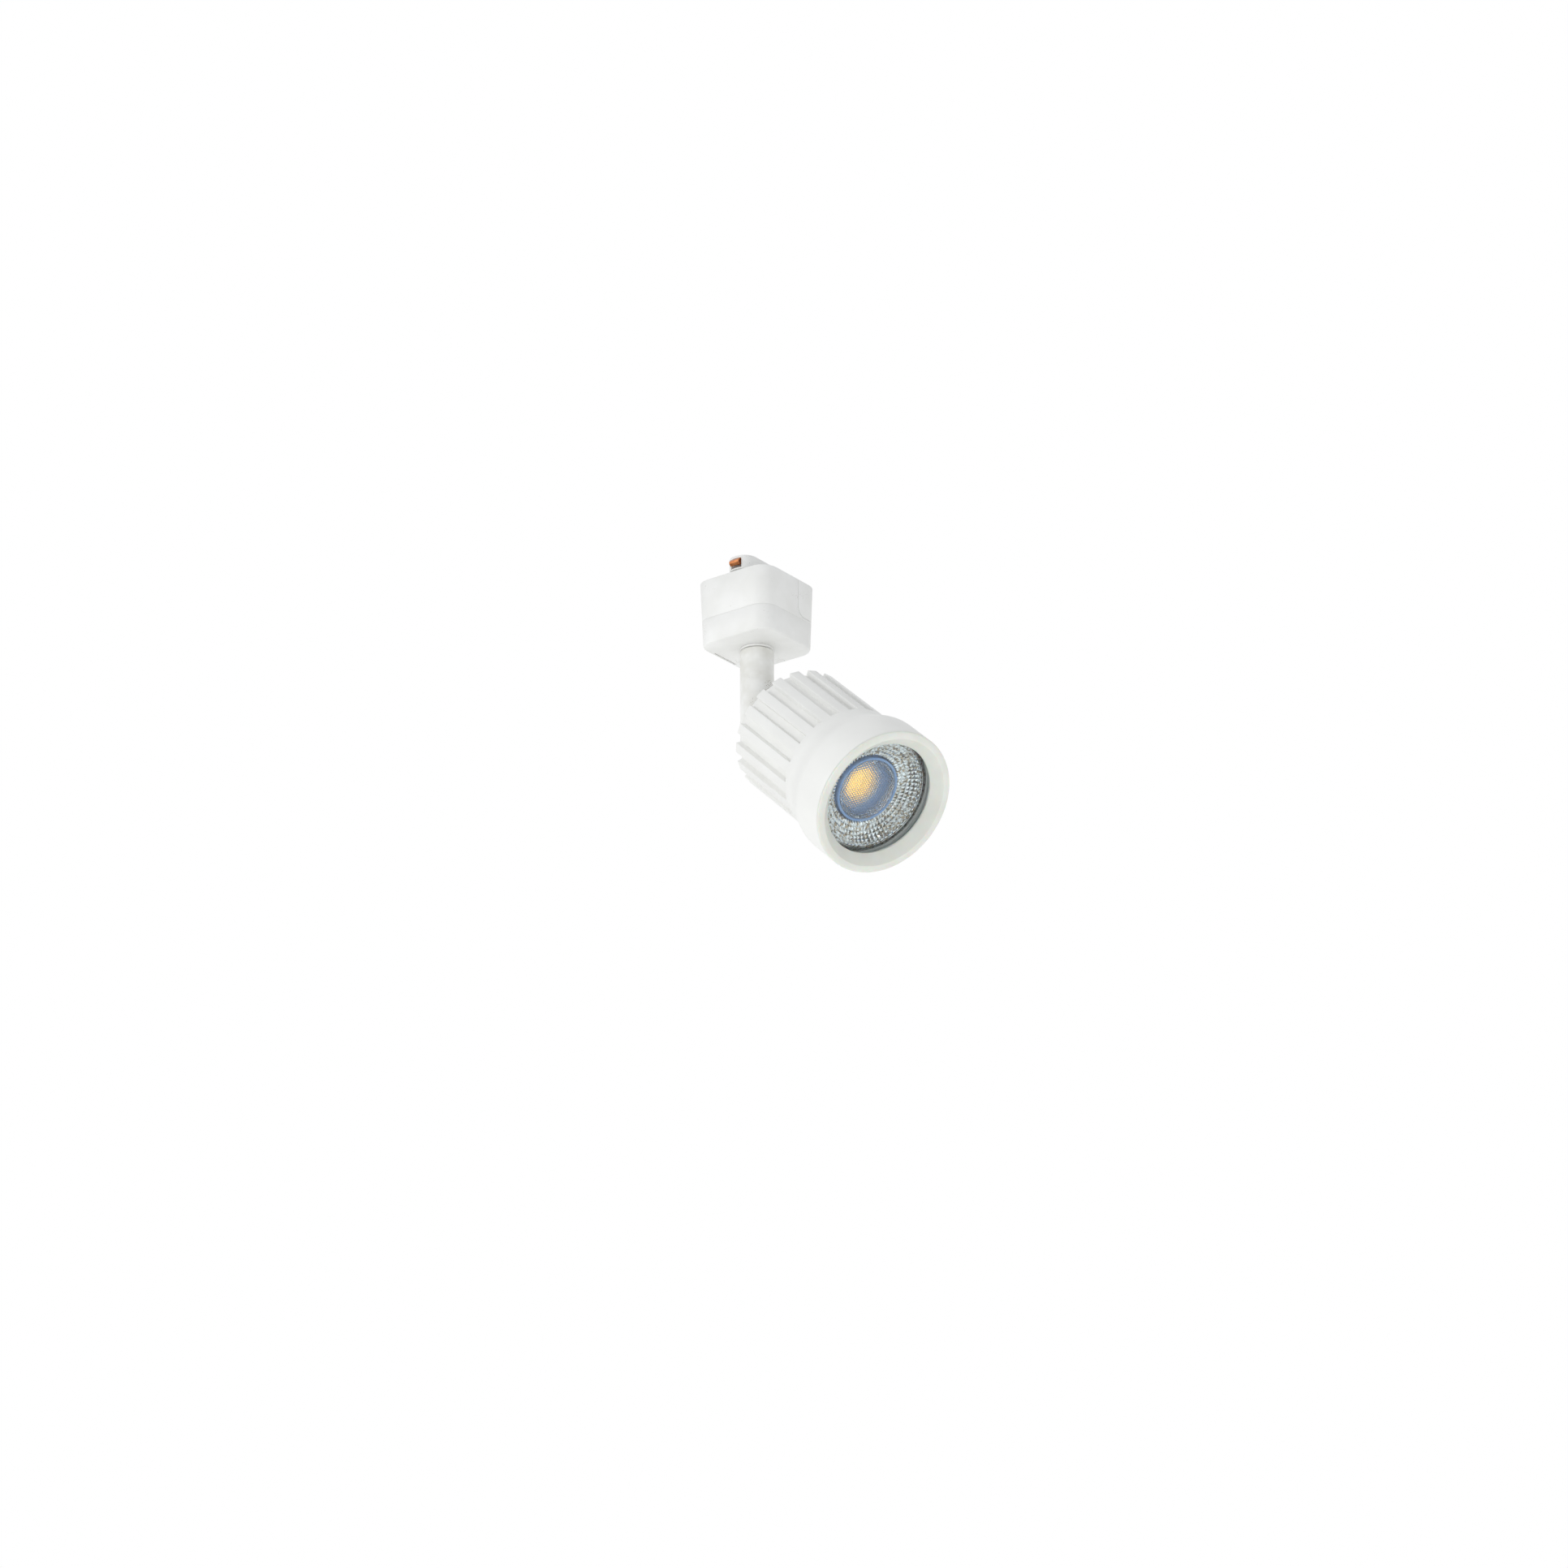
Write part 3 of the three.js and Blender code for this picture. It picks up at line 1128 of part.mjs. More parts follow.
function buildHead() {
  const optics = new THREE.Group();
  optics.position.z = AXIS_RISE;
  const { transformer, can, film } = driverParts();
  const boardHalf = LED_BOARD / 2;
  const padRadius = LED_BOARD / 2;
  const gasketOuter = SEAT_BORE - GAP;
  const [positive, negative] = ledLeadPlaces();
  const glass = rod("x", GLASS_REAR, GLASS_FRONT, SEAT_BORE - GAP);
  const phosphor = rod("x", HOLDER_REAR, HOLDER_REAR + PHOSPHOR_THICKNESS, PHOSPHOR_RADIUS);
  const board = block([LED_BOARD_REAR, LED_BOARD_FRONT], [-boardHalf, boardHalf], [-boardHalf, boardHalf]);
  const gasket = ring("x", GASKET_REAR, GASKET_REAR + GASKET_THICKNESS, gasketOuter - GASKET_WIDTH,
    gasketOuter);
  optics.add(piece("finned_housing", finnedHousing(), "whitePaint"));
  optics.add(piece("bezel_ring", bezelRing(), "frostedPlastic"));
  optics.add(piece("front_glass", glass, "clearGlass"));
  optics.add(piece("glass_gasket", gasket, "greySilicone"));
  optics.add(piece("reflector", reflector(), "brightReflector"));
  optics.add(piece("honeycomb_lens", lens(), "clearAcrylic"));
  optics.add(piece("lens_cup", lensCup(), "clearAcrylic"));
  optics.add(piece("led_holder", ledHolder(), "whitePlastic"));
  holderScrewPlaces().forEach((at, i) =>
    optics.add(piece(`holder_screw_${i + 1}`, holderScrew(at), "steel")));
  optics.add(piece("led_phosphor", phosphor, "phosphor"));
  optics.add(piece("led_board", board, "ceramic"));
  optics.add(piece("thermal_pad", rod("x", PAD_REAR, PAD_REAR + PAD_THICKNESS, padRadius), "greySilicone"));
  optics.add(piece("led_lead_positive", ledLead(positive), "redSleeve"));
  optics.add(piece("led_lead_negative", ledLead(negative), "blackSleeve"));
  optics.add(piece("driver_liner", driverLiner(), "blackPlastic"));
  optics.add(piece("driver_board", driverBoard(), "circuitBoard"));
  optics.add(piece("driver_transformer", transformer, "yellowTape"));
  optics.add(piece("bulk_capacitor", can, "blackSleeve"));
  optics.add(piece("film_capacitor", film, "redSleeve"));
  optics.add(piece("rear_cap", rearCap(), "whitePaint"));
  capScrewPlaces().forEach((at, i) => optics.add(piece(`cap_screw_${i + 1}`, capScrew(at), "steel")));
  optics.add(piece("cap_grommet", capGrommet(), "blackPlastic"));

  const tilt = new THREE.Group();
  tilt.position.z = -PIVOT_DROP;
  tilt.rotation.y = degrees(TILT_AT_REST);
  tilt.add(optics);
  const pan = new THREE.Group();
  pan.rotation.z = degrees(PAN_AT_REST);
  pan.add(tilt);
  return pan;
}

const spotlight = new THREE.Group();
spotlight.add(buildAdapter(), buildStem(), buildHead());

export default spotlight;
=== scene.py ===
"""Track spotlight: the looks of a square track adapter, its swivel stem and a tilting finned lamp head."""

import json
import math

import bpy
from mathutils import Matrix, Vector


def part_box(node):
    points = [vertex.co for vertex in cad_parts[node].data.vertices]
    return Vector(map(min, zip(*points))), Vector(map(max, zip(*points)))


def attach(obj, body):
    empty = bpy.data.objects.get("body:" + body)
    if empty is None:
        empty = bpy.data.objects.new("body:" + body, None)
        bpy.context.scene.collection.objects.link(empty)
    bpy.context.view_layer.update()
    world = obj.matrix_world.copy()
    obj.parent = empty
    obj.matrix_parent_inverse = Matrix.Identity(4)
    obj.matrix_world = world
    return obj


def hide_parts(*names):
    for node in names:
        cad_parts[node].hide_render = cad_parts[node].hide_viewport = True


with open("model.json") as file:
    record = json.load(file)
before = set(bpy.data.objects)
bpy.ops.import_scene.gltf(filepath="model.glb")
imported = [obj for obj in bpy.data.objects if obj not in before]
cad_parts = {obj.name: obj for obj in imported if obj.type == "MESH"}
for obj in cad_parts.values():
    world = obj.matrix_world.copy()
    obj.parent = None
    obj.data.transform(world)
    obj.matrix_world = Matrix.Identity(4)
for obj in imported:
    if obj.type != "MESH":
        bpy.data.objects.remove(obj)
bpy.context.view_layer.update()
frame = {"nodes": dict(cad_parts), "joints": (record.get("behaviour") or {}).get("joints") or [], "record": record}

bl_info = {
    "name": "Track Spotlight",
    "version": (1, 0, 0),
    "blender": (4, 5, 0),
    "location": "3D View > Sidebar > Spotlight",
    "description": "Builds a track spotlight piece by piece: adapter, stem and tilting lamp head",
    "category": "Add Mesh",
}

MM = 0.001
JOINTS = {joint["name"]: joint for joint in frame["joints"]}
STRAIGHT_DOWN = 90.0

# The rest pose. The tilt joint's axis gives the turn of the stem, and its upper limit is straight down.
TILT_AXIS = Vector(JOINTS["head_tilt"]["axis"])
PIVOT = Vector(JOINTS["head_tilt"]["pos_m"])
PAN_AT_REST = math.atan2(-TILT_AXIS.x, TILT_AXIS.y)
TILT_AT_REST = math.radians(STRAIGHT_DOWN - JOINTS["head_tilt"]["range_deg"][1])

# Stations along the lamp's axis, in millimetres from the pivot
LAMP_RISE = 9.98
BODY_REAR = 17.76
RIB_END = BODY_REAR + 35.2
COLLAR_END = RIB_END + 3.6
FLARE_END = COLLAR_END + 10.5
RIM = BODY_REAR + 63.2
SOURCE_SEAT = COLLAR_END + 0.9
HOLDER_REAR = SOURCE_SEAT + 2.2
HOLDER_FRONT = HOLDER_REAR + 2.2
BEZEL_SEAT = RIM - 4.3
LENS_FRONT = RIM - 11.75
LENS_THICKNESS = 5.6
LENS_CHAMFER = 1.6
FIT_GAP = 0.3
BOLT_WAY_RADIUS = 2.3

STEM_PLACE = Matrix.Rotation(PAN_AT_REST, 4, "Z")
PIVOT_PLACE = Matrix.Translation(PIVOT) @ STEM_PLACE
HEAD_PLACE = (
    PIVOT_PLACE
    @ Matrix.Rotation(TILT_AT_REST, 4, "Y")
    @ Matrix.Translation((0, 0, LAMP_RISE * MM))
)
# Turned pieces are drawn along Z, and this lays their axis along the lamp's.
LAMP_AXIS_PLACE = HEAD_PLACE @ Matrix.Rotation(math.radians(90), 4, "Y")


# ---------------------------------------------------------------- Settings


def millimetres(name, description, default):
    return bpy.props.FloatProperty(
        name=name, description=description, default=default, min=0.01, unit="NONE"
    )


def colour(name, description, default):
    return bpy.props.FloatVectorProperty(
        name=name, description=description, default=linear(default), size=4, min=0, max=1, subtype="COLOR"
    )


def linear(hex_colour):
    """An sRGB hex colour as linear RGBA."""
    channels = [int(hex_colour[i : i + 2], 16) / 255 for i in (1, 3, 5)]
    return [c / 12.92 if c <= 0.04045 else ((c + 0.055) / 1.055) ** 2.4 for c in channels] + [1.0]


class SpotlightSizes(bpy.types.PropertyGroup):
    """Sizes in millimetres"""

    rib_count: bpy.props.IntProperty(
        name="Ribs", description="Ribs round the body", default=20, min=8, max=40
    )
    rib_turn: bpy.props.FloatProperty(
        name="Rib turn",
        description="Turn of the ribs about the lamp's axis",
        default=math.radians(12),
        subtype="ANGLE",
    )
    rib_tip: millimetres("Rib tip radius", "Radius over the ribs and of the plain collar", 24.4)
    rib_root: millimetres("Rib root radius", "Radius of the groove floors", 22.2)
    rib_width: millimetres("Rib width", "Thickness of one rib", 3.9)
    rib_round: millimetres("Rib rounding", "Rounding of the cast ribs' edges", 0.75)
    bell_radius: millimetres("Bell radius", "Radius of the bell round the rim", 27.3)
    bore: millimetres("Driver bore", "Radius of the driver bay", 20.0)
    seat_bore: millimetres("Rim seat", "Radius of the seat for the glass and the bezel", 25.5)
    opening: millimetres("Opening", "Radius of the bezel's opening", 21.2)
    lens_radius: millimetres("Lens radius", "Radius of the honeycomb lens", 11.2)
    lens_pitch: millimetres("Lens cell", "Width of one honeycomb cell", 0.95)
    stem_radius: millimetres("Stem radius", "Outer radius of the stem", 6.3)


class SpotlightColours(bpy.types.PropertyGroup):
    """Colours of the visible finishes"""

    paint: colour("Paint", "Satin white paint on the castings and the stem", "#F1F1EE")
    plastic: colour("Plastic", "White moulded plastic of the adapter", "#F0F0EE")
    bezel: colour("Bezel", "Frosted ring round the glass", "#E4E6DF")
    phosphor: colour("Phosphor", "Gel over the light source", "#F5B23A")
    cup: colour("Lens cup", "Tinted cup that carries the lens", "#8DBAFA")


# ---------------------------------------------------------------- Modelling


def deselect():
    if bpy.context.mode != "OBJECT":
        bpy.ops.object.mode_set(mode="OBJECT")
    bpy.ops.object.select_all(action="DESELECT")


def choose(piece):
    deselect()
    piece.select_set(True)
    bpy.context.view_layer.objects.active = piece


def started(name):
    """Names the primitive that was just added and applies its place."""
    piece = bpy.context.object
    piece.name = name
    piece.data.name = name
    bpy.ops.object.transform_apply(location=True, rotation=True, scale=True)
    return piece


def edit(piece, mode="VERT"):
    choose(piece)
    bpy.ops.object.mode_set(mode="EDIT")
    bpy.ops.mesh.select_mode(type=mode)
    bpy.ops.mesh.select_all(action="DESELECT")


def pick(piece, mode, test):
    """Leaves the piece in edit mode with the faces, edges or points that pass the test selected."""
    edit(piece, mode)
    bpy.ops.object.mode_set(mode="OBJECT")
    mesh = piece.data
    items = {"FACE": mesh.polygons, "EDGE": mesh.edges, "VERT": mesh.vertices}[mode]
    for item in items:
        item.select = test(item)
    bpy.ops.object.mode_set(mode="EDIT")


def tidy_normals(piece):
    edit(piece)
    bpy.ops.mesh.select_all(action="SELECT")
    bpy.ops.mesh.normals_make_consistent(inside=False)
    bpy.ops.object.mode_set(mode="OBJECT")


def turned(name, profile, sides=96, tube=False):
    """A circle drawn out along Z through steps of (station, radius) in millimetres."""
    deselect()
    start, radius = profile[0]
    fill = "NOTHING" if tube else "NGON"
    bpy.ops.mesh.primitive_circle_add(
        vertices=sides, radius=radius * MM, fill_type=fill, location=(0, 0, start * MM)
    )
    piece = started(name)
    bpy.ops.object.mode_set(mode="EDIT")
    bpy.ops.mesh.select_all(action="SELECT")
    for (before, was), (station, now) in zip(profile, profile[1:]):
        step = (0, 0, (station - before) * MM)
        bpy.ops.mesh.extrude_region_move(TRANSFORM_OT_translate={"value": step})
        growth = now / was
        bpy.ops.transform.resize(value=(growth, growth, 1), center_override=(0, 0, station * MM))
    if tube:
        bpy.ops.mesh.select_mode(type="EDGE")
        bpy.ops.mesh.select_all(action="DESELECT")
        bpy.ops.mesh.select_non_manifold()
        bpy.ops.mesh.bridge_edge_loops()
    tidy_normals(piece)
    return piece


def block(name, low, high):
    deselect()
    middle = [(a + b) / 2 * MM for a, b in zip(low, high)]
    size = [(b - a) * MM for a, b in zip(low, high)]
    bpy.ops.mesh.primitive_cube_add(size=1, location=middle, scale=size)
    return started(name)


def peg(name, radius, low, high, at=(0, 0), axis="Z", sides=48):
    """A round bar between two levels of its axis."""
    deselect()
    middle = (low + high) / 2
    spots = {"X": (middle, *at), "Y": (at[0], middle, at[1]), "Z": (*at, middle)}
    turns = {"X": (0, math.pi / 2, 0), "Y": (math.pi / 2, 0, 0), "Z": (0, 0, 0)}
    bpy.ops.mesh.primitive_cylinder_add(
        vertices=sides,
        radius=radius * MM,
        depth=(high - low) * MM,
        location=[c * MM for c in spots[axis]],
        rotation=turns[axis],
    )
    return started(name)


def combine(piece, other, operation="DIFFERENCE"):
    """Cuts, joins or keeps the overlap of two solids, and uses the second one up."""
    choose(piece)
    bpy.ops.object.modifier_add(type="BOOLEAN")
    modifier = piece.modifiers[-1]
    modifier.operation = operation
    modifier.solver = "EXACT"
    modifier.object = other
    bpy.ops.object.modifier_apply(modifier=modifier.name)
    choose(other)
    bpy.ops.object.delete()
    return piece


def soften(piece, width, segments=3, angle=30):
    """Rounds every edge sharper than the angle."""
    choose(piece)
    bpy.ops.object.modifier_add(type="BEVEL")
    modifier = piece.modifiers[-1]
    modifier.width = width * MM
    modifier.segments = segments
    modifier.limit_method = "ANGLE"
    modifier.angle_limit = math.radians(angle)
    bpy.ops.object.modifier_apply(modifier=modifier.name)
    return piece


def smooth(piece, angle=35):
    choose(piece)
    bpy.ops.object.shade_smooth_by_angle(angle=math.radians(angle))
    return piece


def placed(piece, place):
    choose(piece)
    piece.matrix_world = place
    bpy.ops.object.transform_apply(location=True, rotation=True, scale=True)
    return piece


def welded_copy(node, name):
    """A copy of a frame solid with its loose triangles welded and its flat faces made whole."""
    choose(frame["nodes"][node])
    bpy.ops.object.duplicate()
    piece = bpy.context.object
    piece.parent = None
    for key in list(piece.keys()):
        del piece[key]
    piece.name = name
    piece.data.name = name
    edit(piece)
    bpy.ops.mesh.select_all(action="SELECT")
    bpy.ops.mesh.remove_doubles(threshold=0.002 * MM)
    bpy.ops.mesh.dissolve_limited(angle_limit=math.radians(0.5))
    bpy.ops.object.mode_set(mode="OBJECT")
    return piece


def fitted(piece, body, slot, material, *nodes):
    """Gives the finished piece its material and its body, and lets it stand for its frame solids."""
    piece.data.materials.clear()
    piece.data.materials.append(material)
    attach(piece, body)
    if nodes:
        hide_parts(*nodes)
    return piece


# ---------------------------------------------------------------- Finishes


def add(tree, kind, inputs=None, **settings):
    """Adds a node with its settings, its values and its links."""
    node = tree.nodes.new(kind)
    for key, value in settings.items():
        setattr(node, key, value)
    for key, value in (inputs or {}).items():
        if isinstance(value, bpy.types.NodeSocket):
            tree.links.new(value, node.inputs[key])
        else:
            node.inputs[key].default_value = value
    return node


def blank(name):
    """A material and its empty tree, or a material that is already there and no tree."""
    material = bpy.data.materials.get(name)
    if material:
        return material, None
    material = bpy.data.materials.new(name)
    material.use_nodes = True
    material.node_tree.nodes.clear()
    return material, material.node_tree


def finish(name, base, shade, rough, mottle, grain, depth, specks=None, **sockets):
    """A surface with soft patches of a second shade, an even grain and, if asked, sparse small specks.

    rough is (smoothest, roughest). mottle and grain are pattern sizes and depth is the grain's height,
    all in millimetres. specks is (size in millimetres, rarity from 0.3 to 0.5, colour).
    """
    material, tree = blank(name)
    if tree is None:
        return material
    spot = add(tree, "ShaderNodeTexCoord").outputs["Object"]
    patches = add(tree, "ShaderNodeTexNoise", {"Vector": spot, "Scale": 1 / (mottle * MM), "Detail": 3.0})
    grains = add(tree, "ShaderNodeTexNoise", {"Vector": spot, "Scale": 1 / (grain * MM), "Detail": 2.0})
    tones = add(tree, "ShaderNodeValToRGB", {"Fac": patches.outputs["Fac"]})
    tones.color_ramp.elements[0].position = 0.35
    tones.color_ramp.elements[0].color = shade
    tones.color_ramp.elements[1].position = 0.65
    tones.color_ramp.elements[1].color = base
    tone = tones.outputs["Color"]
    if specks:
        size, rarity, dark = specks
        dust = add(tree, "ShaderNodeTexNoise", {"Vector": spot, "Scale": 1 / (size * MM), "Detail": 0.0})
        sparse = add(tree, "ShaderNodeTexNoise", {"Vector": spot, "Scale": 1 / (9 * MM), "Detail": 1.0})
        product = add(
            tree, "ShaderNodeMath", {0: dust.outputs["Fac"], 1: sparse.outputs["Fac"]}, operation="MULTIPLY"
        )
        threshold = add(
            tree,
            "ShaderNodeMapRange",
            {"Value": product.outputs["Value"], "From Min": rarity, "From Max": rarity + 0.04},
        )
        tone = add(
            tree,
            "ShaderNodeMix",
            {0: threshold.outputs["Result"], 6: tone, 7: dark},
            data_type="RGBA",
        ).outputs[2]
    smoothest, roughest = rough
    gloss = add(
        tree,
        "ShaderNodeMapRange",
        {
            "Value": grains.outputs["Fac"],
            "From Min": 0.3,
            "From Max": 0.7,
            "To Min": smoothest,
            "To Max": roughest,
        },
    )
    bump = add(
        tree, "ShaderNodeBump", {"Height": grains.outputs["Fac"], "Strength": 0.6, "Distance": depth * MM}
    )
    shader = add(
        tree,
        "ShaderNodeBsdfPrincipled",
        {
            "Base Color": tone,
            "Roughness": gloss.outputs["Result"],
            "Normal": bump.outputs["Normal"],
            **{key.replace("_", " "): value for key, value in sockets.items()},
        },
    )
    add(tree, "ShaderNodeOutputMaterial", {"Surface": shader.outputs["BSDF"]})
    return material


def powder_coat(colours):
    # Satin polyester powder coat on cast and turned aluminium: a faint orange peel of about 0.7 mm
    # breaks up the highlights.
    return finish(
        "satin_powder_coat", colours.paint, linear("#EDEDEA"), (0.36, 0.5), 16, 0.7, 0.012,
        IOR=1.5,
    )


def stem_coat(colours):
    # The same coat, handled more, so it is a little warmer and carries scuffs and dust.
    return finish(
        "handled_powder_coat", colours.paint, linear("#E3E2DC"), (0.32, 0.52), 7, 0.6, 0.02,
        specks=(0.35, 0.435, linear("#A9A49B")), IOR=1.5,
    )


def adapter_moulding(colours):
    # Polycarbonate, injection moulded against a spark-eroded steel: an even, fine matt grain.
    return finish(
        "moulded_polycarbonate", colours.plastic, linear("#E9E9E6"), (0.42, 0.56), 12, 0.35, 0.012,
        specks=(0.3, 0.47, linear("#C4C1BB")), IOR=1.58,
    )


def frosted_ring(colours):
    # Frosted acrylic: light goes a little way in, which gives the soft greenish glow at the lip.
    return finish(
        "frosted_acrylic", colours.bezel, linear("#DEE0D8"), (0.4, 0.5), 9, 0.4, 0.008,
        IOR=1.49, Subsurface_Weight=0.35, Subsurface_Scale=0.002,
    )


def see_through(name, tint, rough, wave, depth, ior=None):
    """Clear glass or plastic with a very shallow waviness, which lets light through to what is behind it.

    wave and depth are the waviness's length and height in millimetres. Without an ior it is a thin pane,
    which mirrors at a slant and doesn't bend what is behind it.
    """
    material, tree = blank(name)
    if tree is None:
        return material
    spot = add(tree, "ShaderNodeTexCoord").outputs["Object"]
    waves = add(tree, "ShaderNodeTexNoise", {"Vector": spot, "Scale": 1 / (wave * MM), "Detail": 1.0})
    bump = add(
        tree, "ShaderNodeBump", {"Height": waves.outputs["Fac"], "Strength": 0.3, "Distance": depth * MM}
    )
    clear = add(tree, "ShaderNodeBsdfTransparent", {"Color": linear(tint)})
    if ior is None:
        mirror = add(tree, "ShaderNodeBsdfGlossy", {"Roughness": rough, "Normal": bump.outputs["Normal"]})
        slant = add(tree, "ShaderNodeLayerWeight", {"Blend": 0.1, "Normal": bump.outputs["Normal"]})
        parts = {0: slant.outputs["Facing"], 1: clear.outputs["BSDF"], 2: mirror.outputs["BSDF"]}
    else:
        solid = add(
            tree,
            "ShaderNodeBsdfPrincipled",
            {
                "Base Color": linear(tint),
                "Roughness": rough,
                "IOR": ior,
                "Transmission Weight": 1.0,
                "Normal": bump.outputs["Normal"],
            },
        )
        share = add(tree, "ShaderNodeLightPath").outputs["Is Shadow Ray"]
        parts = {0: share, 1: solid.outputs["BSDF"], 2: clear.outputs["BSDF"]}
    both = add(tree, "ShaderNodeMixShader", parts)
    add(tree, "ShaderNodeOutputMaterial", {"Surface": both.outputs["Shader"]})
    return material


def clear_glass():
    # Toughened float glass: a thin pane, nearly flawless, with a long, shallow waviness.
    return see_through("toughened_glass", "#F7FAFA", 0.01, 14, 0.004)


def clear_acrylic():
    # Clear moulded acrylic of the lens, polished in the mould.
    return see_through("moulded_acrylic", "#F4F8FD", 0.03, 3, 0.003, ior=1.49)


def tinted_acrylic(colours):
    # Pale blue acrylic of the lens's cup, glossy and half clear.
    return finish(
        "tinted_acrylic", colours.cup, linear("#A9CBFB"), (0.08, 0.2), 3, 1.2, 0.01,
        IOR=1.49, Transmission_Weight=0.25,
    )


def metallised():
    # Vacuum-metallised plastic: mirror bright, its tone changing in small cells. These tones are painted glints
    # and painted dark reflections, and the warm brown and tan ones are a painted reflection of the phosphor.
    material, tree = blank("metallised_painted_glints")
    if tree is None:
        return material
    spot = add(tree, "ShaderNodeTexCoord").outputs["Object"]
    cells = add(tree, "ShaderNodeTexVoronoi", {"Vector": spot, "Scale": 1 / (0.8 * MM)})
    value = add(tree, "ShaderNodeSeparateColor", {"Color": cells.outputs["Color"]}).outputs["Red"]
    # Cell tones: painted glints at the light end, painted dark reflections at the dark end, painted phosphor
    # reflection in the browns.
    tones = add(tree, "ShaderNodeValToRGB", {"Fac": value})
    ramp = tones.color_ramp
    ramp.elements[0].position = 0.0
    ramp.elements[0].color = linear("#7E7468")
    ramp.elements[1].position = 1.0
    ramp.elements[1].color = linear("#F2F4F6")
    # The tan shade is a painted reflection of the phosphor; the greys between are painted reflections of the
    # surroundings.
    for position, shade in ((0.15, "#B7A68F"), (0.35, "#CFCDCA"), (0.65, "#DCDFE3")):
        ramp.elements.new(position).color = linear(shade)
    haze = add(tree, "ShaderNodeTexNoise", {"Vector": spot, "Scale": 1 / (4 * MM), "Detail": 2.0})
    gloss = add(
        tree, "ShaderNodeMapRange", {"Value": haze.outputs["Fac"], "To Min": 0.06, "To Max": 0.22}
    )
    shader = add(
        tree,
        "ShaderNodeBsdfPrincipled",
        {"Base Color": tones.outputs["Color"], "Metallic": 1.0, "Roughness": gloss.outputs["Result"]},
    )
    add(tree, "ShaderNodeOutputMaterial", {"Surface": shader.outputs["BSDF"]})
    return material


def phosphor_gel_painted_glow(colours):
    # Phosphor in silicone gel: matt, saturated, with fine grains. Its emission is a painted glow that makes it
    # look brightly lit, though the lamp is off.
    return finish(
        "phosphor_gel_painted_glow", colours.phosphor, linear("#F8CB6A"), (0.35, 0.55), 1.6, 0.2, 0.02,
        # The emission colour and strength are a painted glow, not light of the phosphor's own.
        IOR=1.41, Emission_Color=linear("#F7BC50"), Emission_Strength=1.7,
    )


def hidden_finishes(colours):
    """Materials for the frame solids that stay, by the record's slot."""
    return {
        # Bright zinc plate with a slight rolling grain
        "steel": finish(
            "zinc_plated_steel", linear("#C4C6C9"), linear("#AFB2B6"), (0.22, 0.38), 2.5, 0.25, 0.006,
            Metallic=1.0,
        ),
        # Stamped copper alloy, slightly tarnished
        "copper": finish(
            "stamped_copper", linear("#C98558"), linear("#A8663F"), (0.2, 0.4), 1.5, 0.2, 0.005, Metallic=1.0
        ),
        # Soft silicone, dusty matt
        "grey_silicone": finish(
            "grey_silicone", linear("#C6CBCE"), linear("#B9BEC2"), (0.5, 0.7), 3, 0.3, 0.01, IOR=1.41
        ),
        # Glass-filled nylon, moulded matt
        "black_plastic": finish(
            "moulded_nylon", linear("#2B2C2E"), linear("#232426"), (0.45, 0.62), 4, 0.3, 0.012, IOR=1.53
        ),
        # Solder-masked laminate
        "circuit_board": finish(
            "solder_mask", linear("#2F6A44"), linear("#28603C"), (0.3, 0.4), 3, 0.6, 0.01, IOR=1.5
        ),
        # Polyester tape round the windings
        "yellow_tape": finish(
            "polyester_tape", linear("#D9B02F"), linear("#C9A027"), (0.25, 0.4), 2, 0.5, 0.02, IOR=1.57
        ),
        # Alumina board, matt
        "ceramic": finish(
            "alumina", linear("#ECECE8"), linear("#E2E2DE"), (0.5, 0.65), 3, 0.2, 0.006, IOR=1.76
        ),
        # Printed PVC and shrink sleeves
        "red_sleeve": finish(
            "red_pvc", linear("#A8322A"), linear("#962A24"), (0.35, 0.5), 3, 0.4, 0.01, IOR=1.53
        ),
        "black_sleeve": finish(
            "black_pvc", linear("#202122"), linear("#191A1B"), (0.3, 0.45), 3, 0.4, 0.01, IOR=1.53
        ),
        "brown_sleeve": finish(
            "brown_pvc", linear("#6B3F24"), linear("#5F371F"), (0.35, 0.5), 3, 0.4, 0.01, IOR=1.53
        ),
        "blue_sleeve": finish(
            "blue_pvc", linear("#2C5C9C"), linear("#27528C"), (0.35, 0.5), 3, 0.4, 0.01, IOR=1.53
        ),
        "white_paint": powder_coat(colours),
        "white_plastic": adapter_moulding(colours),
        "frosted_plastic": frosted_ring(colours),
        "clear_glass": clear_glass(),
        "clear_acrylic": clear_acrylic(),
        "bright_reflector": metallised(),
        "phosphor": phosphor_gel_painted_glow(colours),
    }


# ---------------------------------------------------------------- Operators


class SpotlightOperator(bpy.types.Operator):
    """Shared by the pieces' operators"""

    bl_options = {"REGISTER", "UNDO"}

    @classmethod
    def poll(cls, context):
        return context.mode == "OBJECT"


